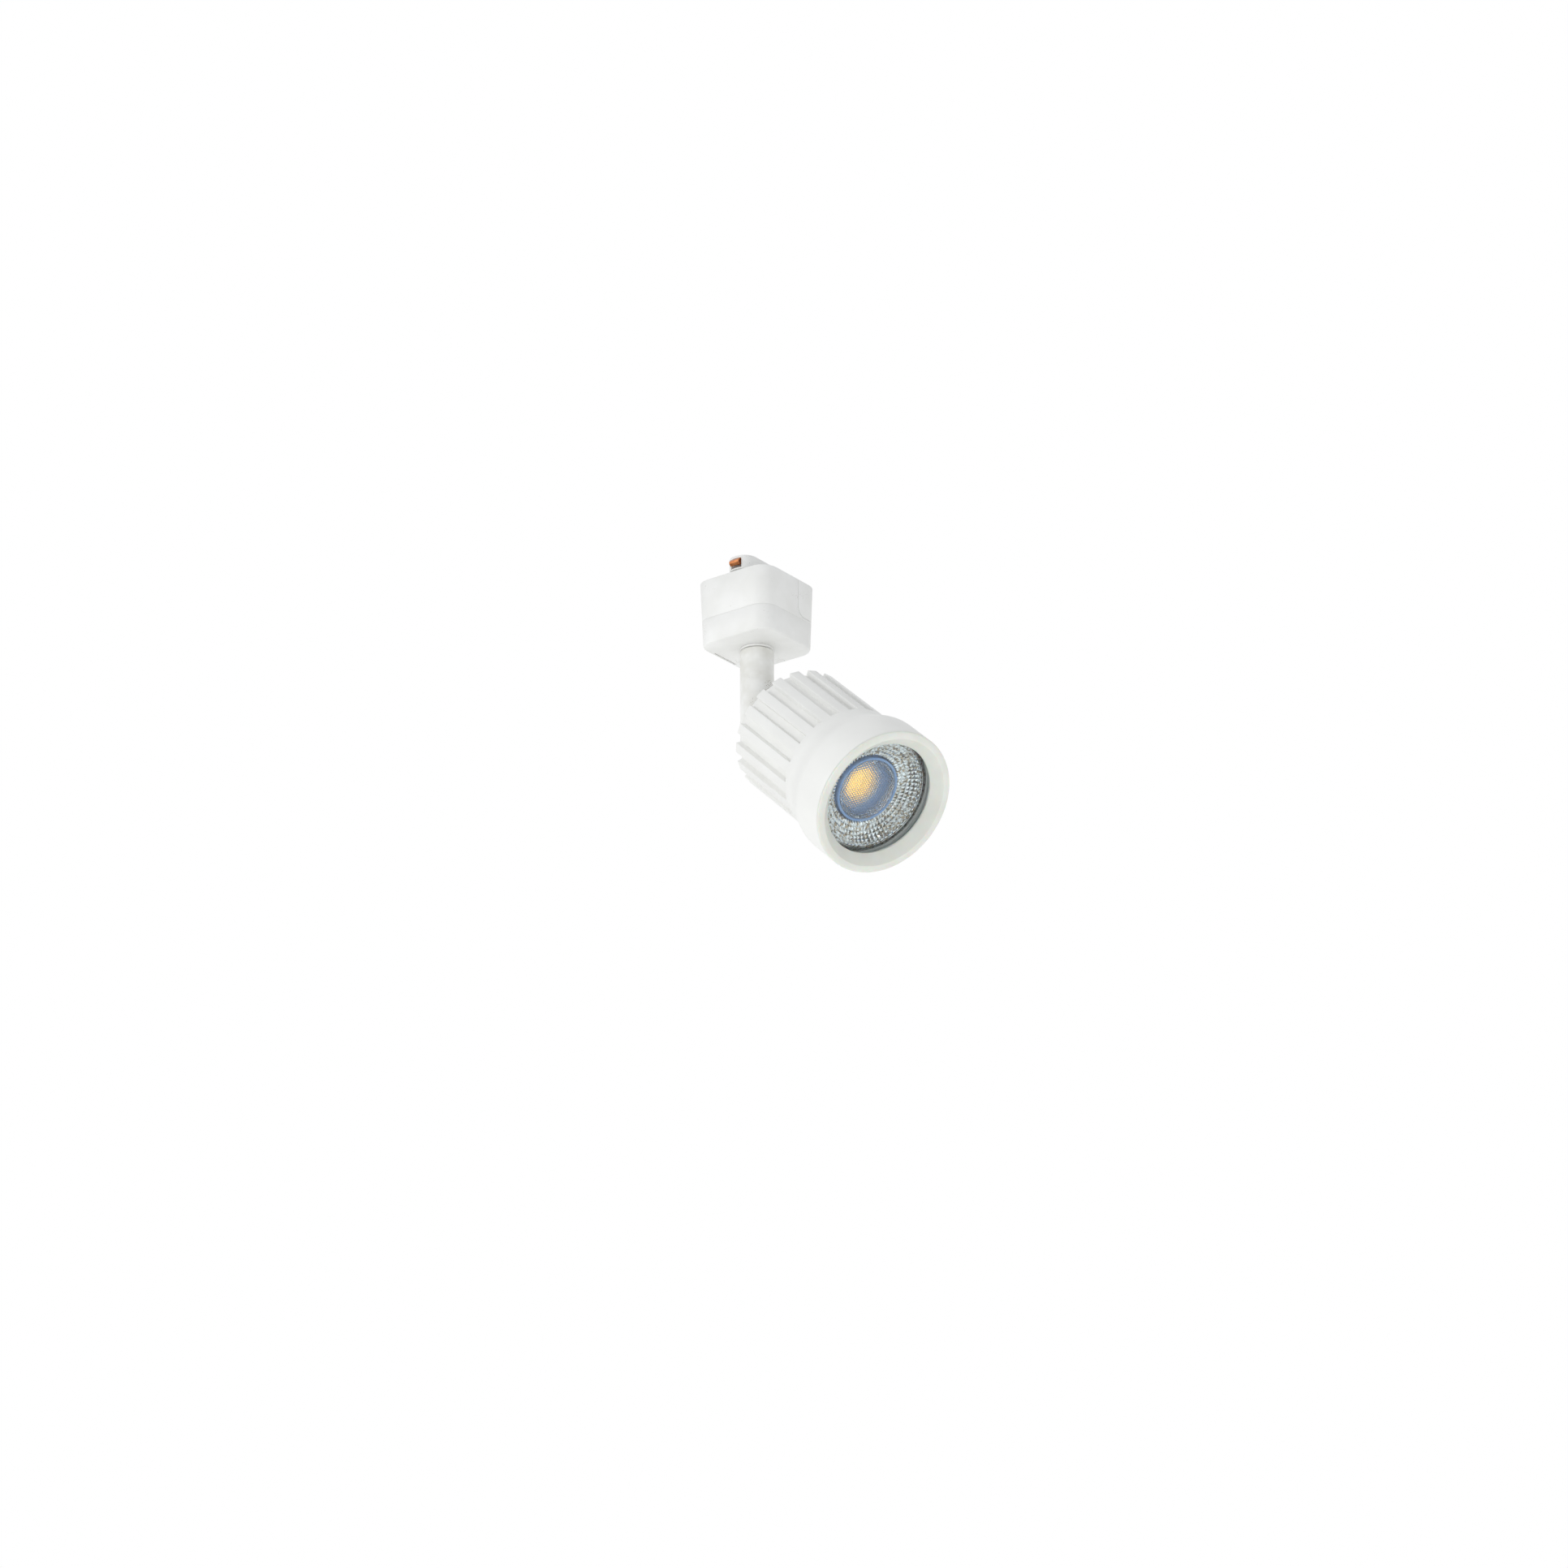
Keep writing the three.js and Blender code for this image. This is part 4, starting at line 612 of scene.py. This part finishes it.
class SPOTLIGHT_OT_adapter(SpotlightOperator):
    """Adapter box: upper shell, lower base, hatch, top plate, latch and contact turret"""

    bl_idname = "spotlight.adapter"
    bl_label = "Track Adapter"

    def execute(self, context):
        moulding = adapter_moulding(context.scene.spotlight_colours)
        for node, body, width in (
            ("adapter_shell", "adapter", 0.1),
            ("adapter_base", "adapter", 0.1),
            ("terminal_hatch", "adapter", 0.12),
            ("adapter_lid", "adapter", 0.15),
            ("release_latch", "latch", 0.15),
            ("contact_turret", "adapter", 0.3),
        ):
            piece = welded_copy(node, f"{node}_moulding")
            if node == "adapter_base":
                self.close_seam(piece)
            soften(piece, width, segments=2, angle=40)
            smooth(piece, 35)
            fitted(piece, body, "white_plastic", moulding, node)
        return {"FINISHED"}

    def close_seam(self, base):
        """Lifts the base's upper edge until it nearly meets the shell, as the tight real seam does."""
        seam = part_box("adapter_shell")[0].z
        gap, lift, tolerance = 0.2 * MM, 0.15 * MM, 0.02 * MM
        pick(base, "VERT", lambda point: abs(point.co.z - (seam - gap)) < tolerance)
        bpy.ops.transform.translate(value=(0, 0, lift))
        bpy.ops.object.mode_set(mode="OBJECT")


class SPOTLIGHT_OT_stem(SpotlightOperator):
    """Swivel stem with its fork, and the plastic bush it turns in"""

    bl_idname = "spotlight.stem"
    bl_label = "Stem"

    def execute(self, context):
        sizes = context.scene.spotlight_sizes
        outer = sizes.stem_radius
        fork_end, shoulder, top = -65.5, -26.4, -15.0
        bore, spigot = 3.2, 4.8
        pivot = PIVOT.z / MM
        tube = turned(
            "stem",
            [
                (fork_end, bore),
                (fork_end, outer - 0.6),
                (fork_end + 0.2, outer - 0.25),
                (fork_end + 0.6, outer),
                (shoulder - 0.3, outer),
                (shoulder - 0.1, outer - 0.1),
                (shoulder, outer - 0.3),
                (shoulder, spigot),
                (top - 0.5, spigot),
                (top, spigot - 0.5),
                (top, bore),
            ],
            tube=True,
        )
        reach = outer + 1
        slot_half, slot_top = 3.4, pivot + 7
        seat_radius, seat_floor = 3.4, 4.9
        combine(tube, block("slot", (-reach, -slot_half, fork_end - 1), (reach, slot_half, slot_top)))
        combine(tube, peg("bolt_way", BOLT_WAY_RADIUS, -reach, reach, (0, pivot), "Y"))
        combine(tube, peg("head_seat", seat_radius, -reach, -seat_floor, (0, pivot), "Y"))
        combine(tube, peg("nut_seat", seat_radius, seat_floor, reach, (0, pivot), "Y"))
        smooth(placed(tube, STEM_PLACE), 30)
        colours = context.scene.spotlight_colours
        fitted(tube, "stem", "white_paint", stem_coat(colours), "stem_tube")

        low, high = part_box("stem_bush")
        under = low.z / MM
        lip_top = under + 0.75
        inner, neck = 5.1, 5.7
        lip = turned(
            "stem_collar_bush",
            [
                (under, inner),
                (under, outer - 0.25),
                (under + 0.08, outer - 0.08),
                (under + 0.25, outer),
                (lip_top, outer),
                (lip_top, neck),
                (high.z / MM, neck),
                (high.z / MM, inner),
            ],
            tube=True,
        )
        smooth(lip, 30)
        fitted(lip, "adapter", "white_plastic", adapter_moulding(colours), "stem_bush")
        return {"FINISHED"}


class SPOTLIGHT_OT_housing(SpotlightOperator):
    """Cast housing: ribbed body, plain collar and flared bell in one piece"""

    bl_idname = "spotlight.housing"
    bl_label = "Finned Housing"

    def execute(self, context):
        sizes = context.scene.spotlight_sizes
        body = self.ribbed_body(sizes)
        combine(body, self.bell(sizes), "UNION")
        bay_end = SOURCE_SEAT - 5.5
        combine(body, peg("driver_bay", sizes.bore, BODY_REAR - 1, bay_end, sides=96))
        smooth(placed(body, LAMP_AXIS_PLACE), 38)
        coat = powder_coat(context.scene.spotlight_colours)
        fitted(body, "head", "white_paint", coat, "finned_housing")
        return {"FINISHED"}

    def ribbed_body(self, sizes):
        """A many-sided bar whose edges are chamfered to the ribs' width, then drawn out as ribs."""
        count = sizes.rib_count
        half_step = math.pi / count
        corner = sizes.rib_root / math.cos(half_step)
        into_collar = 1.5
        body = peg("ribbed_housing", corner, BODY_REAR, RIB_END + into_collar, sides=count)
        spots = body.data.vertices

        def along(edge):
            a, b = (spots[i].co for i in edge.vertices)
            return abs(a.z - b.z) > MM

        pick(body, "EDGE", along)
        bpy.ops.mesh.bevel(offset_type="WIDTH", offset=sizes.rib_width * MM, segments=1)
        bpy.ops.object.mode_set(mode="OBJECT")

        def rib_base(face):
            if abs(face.normal.z) > 0.1:
                return False
            turn = math.atan2(face.normal.y, face.normal.x) / (2 * half_step)
            return abs(turn - round(turn)) < 0.1

        pick(body, "FACE", rib_base)
        base = corner - sizes.rib_width / 2 * math.tan(half_step)
        rise = math.sqrt(sizes.rib_tip**2 - (sizes.rib_width / 2) ** 2) - base
        bpy.ops.mesh.extrude_faces_move(TRANSFORM_OT_shrink_fatten={"value": rise * MM})
        bpy.ops.object.mode_set(mode="OBJECT")
        tidy_normals(body)
        soften(body, sizes.rib_round, segments=4, angle=30)
        choose(body)
        body.rotation_euler.z = sizes.rib_turn
        bpy.ops.object.transform_apply(rotation=True)
        return body

    def bell(self, sizes):
        """The plain collar, the flare and the bell, with the seats for the optics inside."""
        collar = sizes.rib_tip
        front = RIM - 1.24
        steps = 12
        flare = []
        for i in range(steps + 1):
            t = i / steps
            ease = t * t * (3 - 2 * t)
            station = COLLAR_END + t * (FLARE_END - COLLAR_END)
            flare.append((station, collar + ease * (sizes.bell_radius - collar)))
        optic_bore = sizes.seat_bore - 3
        root = 18.0
        ledge = BEZEL_SEAT - 3.6
        return turned(
            "bell",
            [
                (RIB_END, root),
                (RIB_END, collar - 0.35),
                (RIB_END + 0.1, collar - 0.1),
                (RIB_END + 0.35, collar),
                *flare,
                (front - 0.4, sizes.bell_radius),
                (front - 0.1, sizes.bell_radius - 0.12),
                (front, sizes.bell_radius - 0.4),
                (front, sizes.seat_bore),
                (ledge, sizes.seat_bore),
                (ledge, optic_bore),
                (SOURCE_SEAT + 2.5, optic_bore),
                (SOURCE_SEAT, optic_bore - 1.5),
            ],
            sides=144,
        )


class SPOTLIGHT_OT_front(SpotlightOperator):
    """Frosted bezel ring and the front glass behind it"""

    bl_idname = "spotlight.front"
    bl_label = "Bezel and Glass"

    def execute(self, context):
        sizes = context.scene.spotlight_sizes
        colours = context.scene.spotlight_colours
        spigot = sizes.seat_bore - FIT_GAP
        face = sizes.bell_radius - 0.5
        mouth = face - 2.2
        lip = RIM - 1.2
        ring = turned(
            "bezel",
            [
                (BEZEL_SEAT, sizes.opening),
                (BEZEL_SEAT, spigot),
                (lip, spigot),
                (lip, sizes.bell_radius - 0.15),
                (lip + 0.15, sizes.bell_radius),
                (RIM - 0.55, sizes.bell_radius),
                (RIM - 0.25, sizes.bell_radius - 0.15),
                (RIM - 0.05, face),
                (RIM, face - 0.35),
                (RIM, mouth + 0.2),
                (RIM - 0.07, mouth),
                (RIM - 3.4, sizes.opening + 0.1),
                (RIM - 3.55, sizes.opening),
            ],
            sides=144,
            tube=True,
        )
        smooth(placed(ring, LAMP_AXIS_PLACE), 25)
        fitted(ring, "head", "frosted_plastic", frosted_ring(colours), "bezel_ring")

        thickness, chamfer = 2, 0.3
        front = BEZEL_SEAT - FIT_GAP
        rear = front - thickness
        glass = turned(
            "cover_glass",
            [
                (rear, spigot - chamfer),
                (rear + chamfer, spigot),
                (front - chamfer, spigot),
                (front, spigot - chamfer),
            ],
            sides=96,
        )
        smooth(placed(glass, LAMP_AXIS_PLACE), 25)
        fitted(glass, "head", "clear_glass", clear_glass(), "front_glass")
        return {"FINISHED"}


class SPOTLIGHT_OT_optics(SpotlightOperator):
    """Faceted reflector, honeycomb lens with its cup, and the phosphor disc"""

    bl_idname = "spotlight.optics"
    bl_label = "Optics"

    def execute(self, context):
        sizes = context.scene.spotlight_sizes
        colours = context.scene.spotlight_colours
        bowl = self.reflector(sizes)
        placed(bowl, LAMP_AXIS_PLACE)
        fitted(bowl, "head", "bright_reflector", metallised(), "reflector")
        lens = self.lens(sizes)
        placed(lens, LAMP_AXIS_PLACE)
        fitted(lens, "head", "clear_acrylic", clear_acrylic(), "honeycomb_lens")
        cup = self.cup(sizes)
        smooth(placed(cup, LAMP_AXIS_PLACE), 30)
        fitted(cup, "head", "clear_acrylic", tinted_acrylic(colours), "lens_cup")
        source = self.source()
        smooth(placed(source, LAMP_AXIS_PLACE), 40)
        fitted(source, "head", "phosphor", phosphor_gel_painted_glow(colours), "led_phosphor")
        return {"FINISHED"}

    def reflector(self, sizes):
        """The dish's mirror side is poked into small four-sided points, like cut diamonds."""
        front = BEZEL_SEAT - 3.9
        rear = HOLDER_FRONT + FIT_GAP
        dish_rear = LENS_FRONT - 0.8
        throat = sizes.lens_radius + 1.5
        widest = sizes.opening - 0.8
        rim = sizes.seat_bore - 3.3
        wall = 0.9
        rows = 7
        point_height = 0.34
        tolerance = 0.02
        mirror = []
        for i in range(rows + 1):
            t = i / rows
            reach = throat + (widest - throat) * math.sin(t * math.pi / 2)
            mirror.append((dish_rear + t * (front - dish_rear), reach))
        back = [(station - wall, radius + wall) for station, radius in reversed(mirror)]
        crest = front + 0.2
        bead = [(front, 20.75), (crest, 20.9), (crest, 21.1), (front, 21.25)]
        shell = turned(
            "faceted_reflector",
            [
                (rear, throat),
                *mirror,
                *bead,
                (front, rim),
                (front - wall, rim),
                *back,
                (rear, throat + wall),
            ],
            sides=72,
            tube=True,
        )
        spots = shell.data.vertices

        def on_dish(face):
            for i in face.vertices:
                x, y, z = spots[i].co / MM
                if min(abs(z - s) + abs(math.hypot(x, y) - r) for s, r in mirror) > tolerance:
                    return False
            return True

        pick(shell, "FACE", on_dish)
        bpy.ops.mesh.poke(offset=point_height * MM)
        bpy.ops.object.mode_set(mode="OBJECT")
        return shell

    def lens(self, sizes):
        """A sheet of domed hexagons is thickened and trimmed to the lens's outline."""
        pitch = sizes.lens_pitch
        radius = sizes.lens_radius
        front = LENS_FRONT
        rear = front - LENS_THICKNESS
        sheet_depth = 3
        weld = 0.01 * MM
        across = int(radius / pitch) + 2
        deselect()
        corner = pitch / math.sqrt(3)
        bpy.ops.mesh.primitive_circle_add(
            vertices=6, radius=corner * MM, fill_type="NGON", location=(0, 0, front * MM)
        )
        sheet = started("lens_cells")
        bpy.ops.object.mode_set(mode="EDIT")
        bpy.ops.mesh.select_all(action="SELECT")
        for thickness, depth in ((0.13, 0.14), (0.14, 0.07)):
            bpy.ops.mesh.inset(thickness=thickness * pitch * MM, depth=depth * pitch * MM)
        bpy.ops.object.mode_set(mode="OBJECT")
        row = pitch * math.sqrt(3) / 2
        for count, offset in ((2 * across + 1, (pitch, 0)), (2 * across + 3, (pitch / 2, row))):
            choose(sheet)
            bpy.ops.object.modifier_add(type="ARRAY")
            modifier = sheet.modifiers[-1]
            modifier.count = count
            modifier.use_relative_offset = False
            modifier.use_constant_offset = True
            modifier.constant_offset_displace = (offset[0] * MM, offset[1] * MM, 0)
            modifier.use_merge_vertices = True
            modifier.merge_threshold = weld
            bpy.ops.object.modifier_apply(modifier=modifier.name)
        reach = across + 1
        shift = (-(across + reach / 2) * pitch * MM, -reach * row * MM, 0)
        placed(sheet, Matrix.Translation(shift))
        edit(sheet)
        bpy.ops.mesh.select_all(action="SELECT")
        bpy.ops.mesh.remove_doubles(threshold=weld)
        bpy.ops.mesh.extrude_region_move(TRANSFORM_OT_translate={"value": (0, 0, -sheet_depth * MM)})
        bpy.ops.transform.resize(value=(1, 1, 0), center_override=(0, 0, (front - sheet_depth) * MM))
        tidy_normals(sheet)
        lens = turned(
            "honeycomb_optic",
            [
                (rear, radius - 1.9),
                (rear + LENS_CHAMFER, radius),
                (front + 0.2, radius),
            ],
            sides=96,
        )
        past = 20
        upper = block("upper", (-past, -past, front - 2), (past, past, front + 5))
        combine(upper, sheet)
        combine(lens, upper)
        return lens

    def cup(self, sizes):
        """A ring round the lens, whose sloping floor reaches in under it to the source's window."""
        wall = 0.9
        inner = sizes.lens_radius + FIT_GAP
        outer = inner + wall
        front = LENS_FRONT + 0.4
        rear = HOLDER_FRONT + FIT_GAP
        under_lens = LENS_FRONT - LENS_THICKNESS
        floor = under_lens - FIT_GAP
        window = 6.5
        return turned(
            "lens_cup_ring",
            [
                (rear, window),
                (rear, outer),
                (front - 0.25, outer),
                (front - 0.05, outer - 0.2),
                (front, outer - 0.45),
                (front - 0.05, inner + 0.2),
                (front - 0.25, inner),
                (under_lens + LENS_CHAMFER, inner),
                (floor, inner - 2),
                (floor, window),
            ],
            tube=True,
        )

    def source(self):
        """A slightly domed disc of gel."""
        radius = 5.9
        return turned(
            "phosphor_disc",
            [
                (HOLDER_REAR, radius),
                (HOLDER_REAR + 0.35, radius),
                (HOLDER_REAR + 0.5, radius - 0.15),
                (HOLDER_REAR + 0.57, radius - 0.7),
                (HOLDER_REAR + 0.6, radius / 2),
            ],
            sides=64,
        )


class SPOTLIGHT_OT_rear_cap(SpotlightOperator):
    """Rear cap with its tilt lug, its three screws and the lead's grommet"""

    bl_idname = "spotlight.rear_cap"
    bl_label = "Rear Cap"

    def execute(self, context):
        colours = context.scene.spotlight_colours
        front = BODY_REAR - FIT_GAP
        flange = front - 2
        face = flange - 4.6
        lead_place = 7.5
        cap = turned(
            "rear_cap_casting",
            [
                (face, 10.9),
                (face + 0.1, 11.4),
                (face + 0.35, 11.8),
                (face + 0.8, 12.0),
                (flange - 0.5, 13.75),
                (flange - 0.12, 13.95),
                (flange, 14.4),
                (flange, 20.8),
                (flange + 0.25, 21.35),
                (flange + 0.8, 21.6),
                (front, 21.6),
                (front, 19.7),
                (front + 1.1, 19.7),
                (front + 1.1, 18.8),
                (front, 18.8),
                (front, 14.1),
                (face + 2.2, 10.9),
            ],
        )
        for seat in self.screw_seats():
            combine(cap, peg("screw_way", 1.6, flange - 1, front + 1, seat))
        cap = placed(cap, Matrix.Rotation(math.radians(90), 4, "Y"))
        combine(cap, peg("lead_way", 2.5, face - 1, face + 3.2, (lead_place, 0), "X"))
        combine(cap, self.lug(front - 1), "UNION")
        combine(cap, peg("bolt_way", BOLT_WAY_RADIUS, -5, 5, (0, -LAMP_RISE), "Y"))
        smooth(placed(cap, HEAD_PLACE), 30)
        fitted(cap, "head", "white_paint", powder_coat(colours), "rear_cap")
        self.screws(flange, colours)
        low = face - FIT_GAP
        bore, neck = 1.4, 2.2
        grommet = turned(
            "lead_grommet",
            [
                (low - 0.9, bore),
                (low - 0.9, 2.6),
                (low - 0.75, 2.8),
                (low, 3.2),
                (low, neck),
                (face + 2.5, neck),
                (face + 2.5, bore),
            ],
            sides=48,
            tube=True,
        )
        placed(grommet, Matrix.Translation((0, lead_place * MM, 0)))
        smooth(placed(grommet, LAMP_AXIS_PLACE), 40)
        nylon = hidden_finishes(colours)["black_plastic"]
        fitted(grommet, "head", "black_plastic", nylon, "cap_grommet")
        return {"FINISHED"}

    def screw_seats(self):
        """Where the three cap screws stand in the turned pieces' own plane."""
        place = 16.9
        turns = [math.radians(90 + 120 * i) for i in range(3)]
        return [(-place * math.sin(turn), place * math.cos(turn)) for turn in turns]

    def lug(self, root):
        """A round eye on the pivot, with a web behind it that slopes up across the cap's face."""
        radius, half = 5.4, 2.3
        clear, web_top, nudge = 7.5, 11, 0.01
        web = block("web", (0, -half, -LAMP_RISE - radius), (root, half, -LAMP_RISE + radius))
        edit(web)
        bpy.ops.mesh.select_all(action="SELECT")
        bpy.ops.mesh.bisect(plane_co=(clear * MM, 0, 0), plane_no=(1, 0, 0))
        top = (-LAMP_RISE + radius - nudge) * MM
        far = (root - nudge) * MM
        pick(web, "VERT", lambda v: v.co.x > far and v.co.z > top)
        bpy.ops.transform.translate(value=(0, 0, (web_top + LAMP_RISE - radius) * MM))
        bpy.ops.object.mode_set(mode="OBJECT")
        eye = peg("eye", radius, -half, half, (0, -LAMP_RISE), "Y", sides=64)
        combine(web, eye, "UNION")
        soften(web, 0.3, segments=2, angle=40)
        return web

    def screws(self, flange, colours):
        """One cross-headed screw is turned and cut, then copied to each seat."""
        seat = flange - 0.15
        shank, long, short = 1.3, 1.5, 0.35
        model = turned(
            "cap_screw",
            [
                (seat - 1.2, 1.5),
                (seat - 1.1, 1.95),
                (seat - 0.85, 2.3),
                (seat - 0.5, 2.5),
                (seat, 2.5),
                (seat, shank),
                (seat + 7.9, shank),
            ],
            sides=40,
        )
        for x, y in ((long, short), (short, long)):
            combine(model, block("drive", (-x, -y, seat - 3), (x, y, seat - 0.4)))
        smooth(model, 35)
        steel = hidden_finishes(colours)["steel"]
        for i, (x, y) in enumerate(self.screw_seats()):
            choose(model)
            bpy.ops.object.duplicate()
            screw = bpy.context.object
            screw.name = f"cap_screw_head_{i + 1}"
            placed(screw, Matrix.Translation((x * MM, y * MM, 0)))
            placed(screw, LAMP_AXIS_PLACE)
            fitted(screw, "head", "steel", steel, f"cap_screw_{i + 1}")
        choose(model)
        bpy.ops.object.delete()


class SPOTLIGHT_OT_finishes(SpotlightOperator):
    """Finishes for the frame solids that stay in view"""

    bl_idname = "spotlight.finishes"
    bl_label = "Finishes of Kept Solids"

    def execute(self, context):
        by_slot = hidden_finishes(context.scene.spotlight_colours)
        for row in frame["record"]["subparts"]:
            node = frame["nodes"][row["node"]]
            if not node.hide_render:
                node.material_slots[0].material = by_slot[row["material_slot"]]
        return {"FINISHED"}


class SPOTLIGHT_OT_stage(SpotlightOperator):
    """Pale floor, soft studio lights, plain background and camera"""

    bl_idname = "spotlight.stage"
    bl_label = "Stage"

    def execute(self, context):
        scene = context.scene
        self.floor()
        self.background(scene)
        for name, strength, spread, source in (
            ("key_light", 0.67, 25, (-0.42, -0.9, 0.12)),
            ("top_light", 0.15, 90, (0.1, -0.25, 0.95)),
        ):
            self.lamp(name, strength, spread, Vector(source))
        self.softbox("front_light", 1.0, 1.0, HEAD_PLACE @ Vector((0.95, -0.25, 0.1)))
        self.snoot("optics_light", 0.12, 20.0, HEAD_PLACE @ Vector((0.84, -0.58, 0.06)))
        self.camera(scene)
        scene.view_settings.view_transform = "Standard"
        return {"FINISHED"}

    def floor(self):
        deselect()
        width, level = 14, -1.5
        bpy.ops.mesh.primitive_plane_add(size=width, location=(0, 0, level))
        floor = started("studio_floor")
        edit(floor)
        bpy.ops.mesh.select_all(action="SELECT")
        bpy.ops.mesh.subdivide(number_cuts=8)
        bpy.ops.object.mode_set(mode="OBJECT")
        floor.data.materials.append(
            finish(
                "pale_floor", linear("#F4F4F2"), linear("#F1F1EF"), (0.7, 0.8), 400, 60, 0.05,
                IOR=1.5, Emission_Color=linear("#FFFFFF"), Emission_Strength=0.38,
            )
        )

    def background(self, scene):
        """White to the eye and in reflections, and a softer grey where it lights matt surfaces."""
        world = bpy.data.worlds.new("studio")
        scene.world = world
        world.use_nodes = True
        tree = world.node_tree
        tree.nodes.clear()
        matt = add(tree, "ShaderNodeLightPath").outputs["Is Diffuse Ray"]
        shown = add(tree, "ShaderNodeBackground", {"Color": linear("#FFFFFF"), "Strength": 1.0})
        light = add(tree, "ShaderNodeBackground", {"Color": linear("#FAFCFF"), "Strength": 0.62})
        parts = {0: matt, 1: shown.outputs["Background"], 2: light.outputs["Background"]}
        both = add(tree, "ShaderNodeMixShader", parts)
        add(tree, "ShaderNodeOutputWorld", {"Surface": both.outputs["Shader"]})

    def lamp(self, name, strength, spread, source):
        """A broad, even light from one side, as from a large softbox."""
        deselect()
        bpy.ops.object.light_add(type="SUN", rotation=source.to_track_quat("Z", "Y").to_euler())
        light = bpy.context.object
        light.name = name
        light.data.energy = strength
        light.data.angle = math.radians(spread)

    def softbox(self, name, size, power, spot):
        """A square softbox that faces the lamp head."""
        deselect()
        aim = (spot - PIVOT).to_track_quat("Z", "Y").to_euler()
        bpy.ops.object.light_add(type="AREA", location=spot, rotation=aim)
        light = bpy.context.object
        light.name = name
        light.data.size = size
        light.data.energy = power

    def snoot(self, name, size, power, spot):
        """A narrow beam that reaches the optics through the opening and misses the bezel round it."""
        deselect()
        beam, edge = math.radians(2.6), 0.3
        target = LAMP_AXIS_PLACE @ Vector((0, 0, LENS_FRONT * MM))
        aim = (spot - target).to_track_quat("Z", "Y").to_euler()
        bpy.ops.object.light_add(type="SPOT", location=spot, rotation=aim)
        light = bpy.context.object
        light.name = name
        light.data.shadow_soft_size = size
        light.data.spot_size = beam
        light.data.spot_blend = edge
        light.data.energy = power

    def camera(self, scene):
        """A long lens a little below the lamp, with a slight roll."""
        turn, rise, roll = math.radians(36.19), math.radians(-21.50), math.radians(-0.49)
        back = Vector((math.sin(turn) * math.cos(rise), -math.cos(turn) * math.cos(rise), math.sin(rise)))
        level = Vector((math.cos(turn), math.sin(turn), 0))
        upright = back.cross(level)
        right = math.cos(roll) * level + math.sin(roll) * upright
        up = math.cos(roll) * upright - math.sin(roll) * level
        deselect()
        bpy.ops.object.camera_add()
        camera = bpy.context.object
        camera.name = "studio_camera"
        camera.matrix_world = Matrix((right, up, back)).transposed().to_4x4()
        camera.location = (0.87304, -1.17699, -0.65602)
        camera.data.lens = 98.83
        camera.data.sensor_width = 36
        scene.camera = camera


class SPOTLIGHT_PT_panel(bpy.types.Panel):
    """Lists the spotlight's settings and the operators that build it"""

    bl_idname = "SPOTLIGHT_PT_panel"
    bl_label = "Track Spotlight"
    bl_space_type = "VIEW_3D"
    bl_region_type = "UI"
    bl_category = "Spotlight"

    def draw(self, context):
        layout = self.layout
        for group in (context.scene.spotlight_sizes, context.scene.spotlight_colours):
            column = layout.column()
            for name in group.__annotations__:
                column.prop(group, name)
        for operator in BUILD_ORDER:
            layout.operator(operator.bl_idname)


BUILD_ORDER = (
    SPOTLIGHT_OT_adapter,
    SPOTLIGHT_OT_stem,
    SPOTLIGHT_OT_housing,
    SPOTLIGHT_OT_front,
    SPOTLIGHT_OT_optics,
    SPOTLIGHT_OT_rear_cap,
    SPOTLIGHT_OT_finishes,
    SPOTLIGHT_OT_stage,
)
CLASSES = (SpotlightSizes, SpotlightColours, *BUILD_ORDER, SPOTLIGHT_PT_panel)


def register():
    for cls in CLASSES:
        bpy.utils.register_class(cls)
    bpy.types.Scene.spotlight_sizes = bpy.props.PointerProperty(type=SpotlightSizes)
    bpy.types.Scene.spotlight_colours = bpy.props.PointerProperty(type=SpotlightColours)


def unregister():
    del bpy.types.Scene.spotlight_colours
    del bpy.types.Scene.spotlight_sizes
    for cls in reversed(CLASSES):
        bpy.utils.unregister_class(cls)


def main():
    register()
    deselect()
    bpy.ops.spotlight.adapter()
    bpy.ops.spotlight.stem()
    bpy.ops.spotlight.housing()
    bpy.ops.spotlight.front()
    bpy.ops.spotlight.optics()
    bpy.ops.spotlight.rear_cap()
    bpy.ops.spotlight.finishes()
    bpy.ops.spotlight.stage()


if __name__ == "__main__":
    main()
